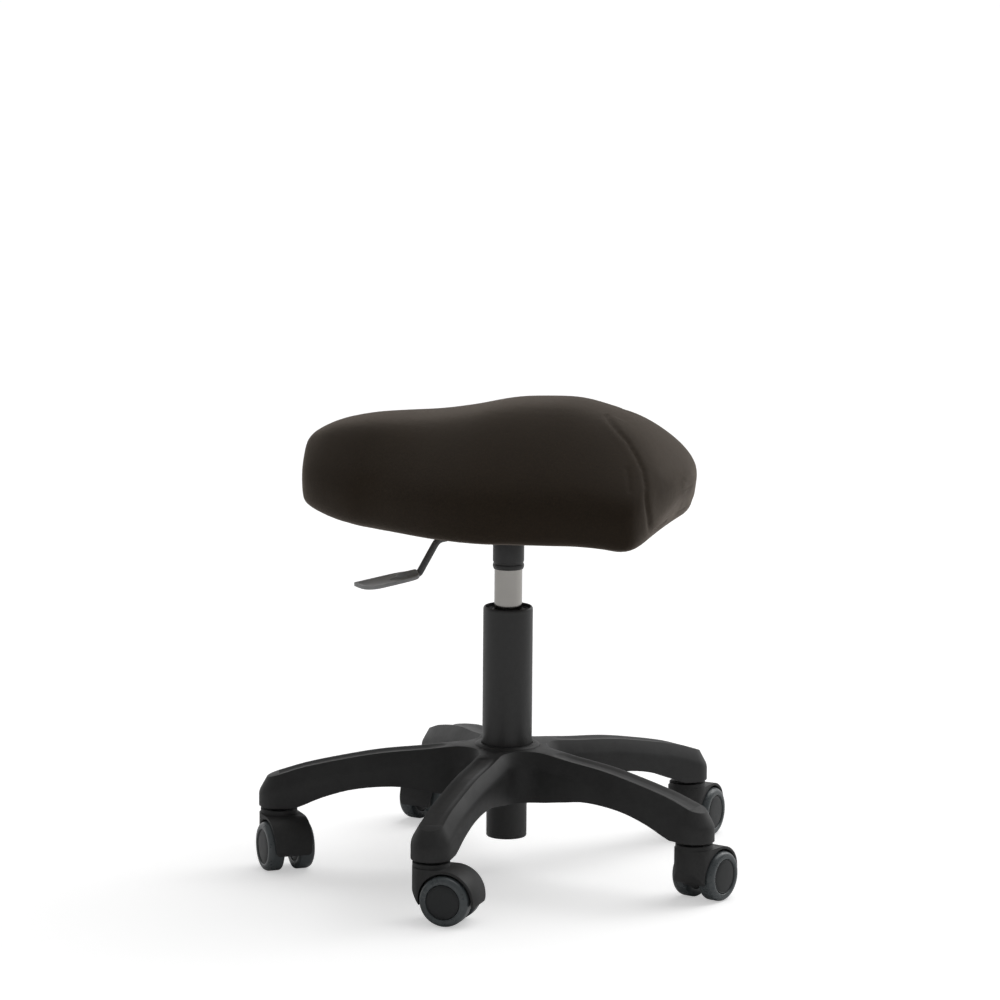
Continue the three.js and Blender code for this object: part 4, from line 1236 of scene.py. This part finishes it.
def board_pocket():
    """What the seat board and the carrier take out of the underside, from the board's own outline."""
    play = 0.5
    _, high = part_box("seat_board")
    bm = bmesh.new()
    bm.from_mesh(frame["nodes"]["seat_board"].data)
    weld(bm)
    rim = [v.co.copy() for v in bm.verts if v.co.z > high.z - 1e-4]
    bm.free()
    centre = sum(rim, Vector()) / len(rim)
    turn_back = SEAT_TURN.inverted()
    middle = (turn_back @ centre).xy
    outline = []
    for point in sorted(rim, key=lambda v: atan2((v - centre).y, (v - centre).x)):
        local = (turn_back @ point).xy
        grown = local + (local - middle).normalized() * play * MM
        outline.append((grown.x / MM, grown.y / MM))
    return prism(outline, 340, high.z / MM + play)


def cover_uv(mesh):
    """A UV map in metres: along the seat, and round its section, taken as a flat oval."""
    layer = mesh.uv_layers.new(name="cover")
    turn_back = SEAT_TURN.inverted()
    middle, half_height, wider = 0.395, 0.09, 0.03
    for loop in mesh.loops:
        local = turn_back @ mesh.vertices[loop.vertex_index].co
        angle = atan2(local.y, local.z - middle)
        reach = half_height + wider * abs(sin(angle))
        layer.data[loop.index].uv = (local.x, angle * reach)


seat_form = cushion()
sew(seat_form)
seat_form = combined(seat_form, [("DIFFERENCE", board_pocket())], tidy=False)
seat_cover = piece(
    "seat_cover", moved(seat_form, SEAT_TURN), "seat", cover, ["seat_cushion"], sharp=60
)
cover_uv(seat_cover.data)

# Studio: floor, light and camera

WHITE = grey(1)
FLOOR_HALF = 14
FLOOR_GLOW = 0.47
WORLD_LIGHT = 0.33
ROOM_GLOSS = 0.26
BACKDROP_GLOSS = 1.0


def mixed_shader(tree, share, one, two):
    return wired(tree, "MixShader", {0: share, 1: one, 2: two})


def put_on(tree, kind, surface):
    """The tree's output node of this kind shows the surface."""
    tree.links.new(surface, tree.nodes.new(f"ShaderNode{kind}").inputs["Surface"])


def studio_floor():
    """A pale matt floor that the camera sees as white, apart from the shadow on it."""
    bm = bmesh.new()
    bmesh.ops.create_grid(bm, x_segments=2, y_segments=2, size=FLOOR_HALF)
    floor = mesh_object(bm, "floor")
    material = bpy.data.materials.new("studio_floor")
    material.use_nodes = True
    tree = material.node_tree
    tree.nodes.clear()
    place = tree.nodes.new("ShaderNodeTexCoord")
    tone = tinted(tree, noise(tree, place.outputs["Object"], 3.0, 3.0), grey(0.80), grey(0.84))
    matt = wired(tree, "BsdfDiffuse", {"Color": tone})
    glow = wired(tree, "Emission", {"Color": WHITE, "Strength": FLOOR_GLOW})
    both = wired(tree, "AddShader", {0: matt, 1: glow})
    path = tree.nodes.new("ShaderNodeLightPath")
    pick = mixed_shader(tree, path.outputs["Is Camera Ray"], matt, both)
    put_on(tree, "OutputMaterial", pick)
    floor.data.materials.append(material)


def studio_world():
    """White to the camera and through glass; to glossy surfaces a bright backdrop and a dimmer room."""
    world = bpy.data.worlds.new("studio")
    bpy.context.scene.world = world
    world.use_nodes = True
    tree = world.node_tree
    tree.nodes.clear()
    rays = tree.nodes.new("ShaderNodeLightPath").outputs
    either = maths(tree, "MAXIMUM", rays["Is Camera Ray"], rays["Is Transmission Ray"])
    # The backdrop lies low behind the stool
    apart = split(tree, tree.nodes.new("ShaderNodeTexCoord").outputs["Generated"])
    behind = mapped(tree, apart["Y"], 0.1, 0.8, interpolation_type="SMOOTHSTEP")
    level = mapped(tree, apart["Z"], 0.2, 0.6, 1.0, 0.0, interpolation_type="SMOOTHSTEP")
    share = maths(tree, "MULTIPLY", behind, level)
    strength = mapped(tree, share, 0.0, 1.0, ROOM_GLOSS, BACKDROP_GLOSS)
    seen, shine, lit = (
        wired(tree, "Background", {"Color": WHITE, "Strength": value})
        for value in (1.0, strength, WORLD_LIGHT)
    )
    glossy = mixed_shader(tree, rays["Is Glossy Ray"], lit, shine)
    put_on(tree, "OutputWorld", mixed_shader(tree, either, glossy, seen))


def lamp(name, kind, power, source, **settings):
    """A lamp whose light comes from the direction of source."""
    data = bpy.data.lights.new(name, kind)
    data.energy = power
    for key, value in settings.items():
        setattr(data, key, value)
    obj = added(name, data)
    obj.rotation_euler = Vector(source).to_track_quat("Z", "Y").to_euler()
    return obj


studio_floor()
studio_world()
lamp("key_sky", "SUN", 1.3, (0.36, 0.36, 0.86), angle=radians(55))
RIM_PLACE = Vector((2.0, 1.3, 1.5))
RIM_TARGET = Vector((0, 0, 0.3))
rim_right = lamp(
    "rim_right", "AREA", 12, RIM_PLACE - RIM_TARGET, shape="RECTANGLE", size=1.2, size_y=1.6
)
rim_right.location = RIM_PLACE

SENSOR = 36
FOCAL_PIXELS = 5288
PICTURE_PIXELS = 1000
CAMERA_PLACE = Vector((0, -5.209, 1.3))
PITCH = radians(10.05)
YAW = radians(-0.099)
ROLL = radians(0.447)
camera_data = bpy.data.cameras.new("camera")
camera_data.sensor_width = SENSOR
camera_data.lens = SENSOR * FOCAL_PIXELS / PICTURE_PIXELS
camera_data.clip_end = 100
camera = added("camera", camera_data)
forward = Vector((sin(YAW) * cos(PITCH), cos(YAW) * cos(PITCH), -sin(PITCH)))
level_right = Vector((cos(YAW), -sin(YAW), 0))
level_up = level_right.cross(forward)
right = level_right * cos(ROLL) + level_up * sin(ROLL)
axes = Matrix((right, right.cross(forward), -forward)).transposed()
camera.matrix_world = Matrix.Translation(CAMERA_PLACE) @ axes.to_4x4()
bpy.context.scene.camera = camera
bpy.context.scene.view_settings.view_transform = "Standard"
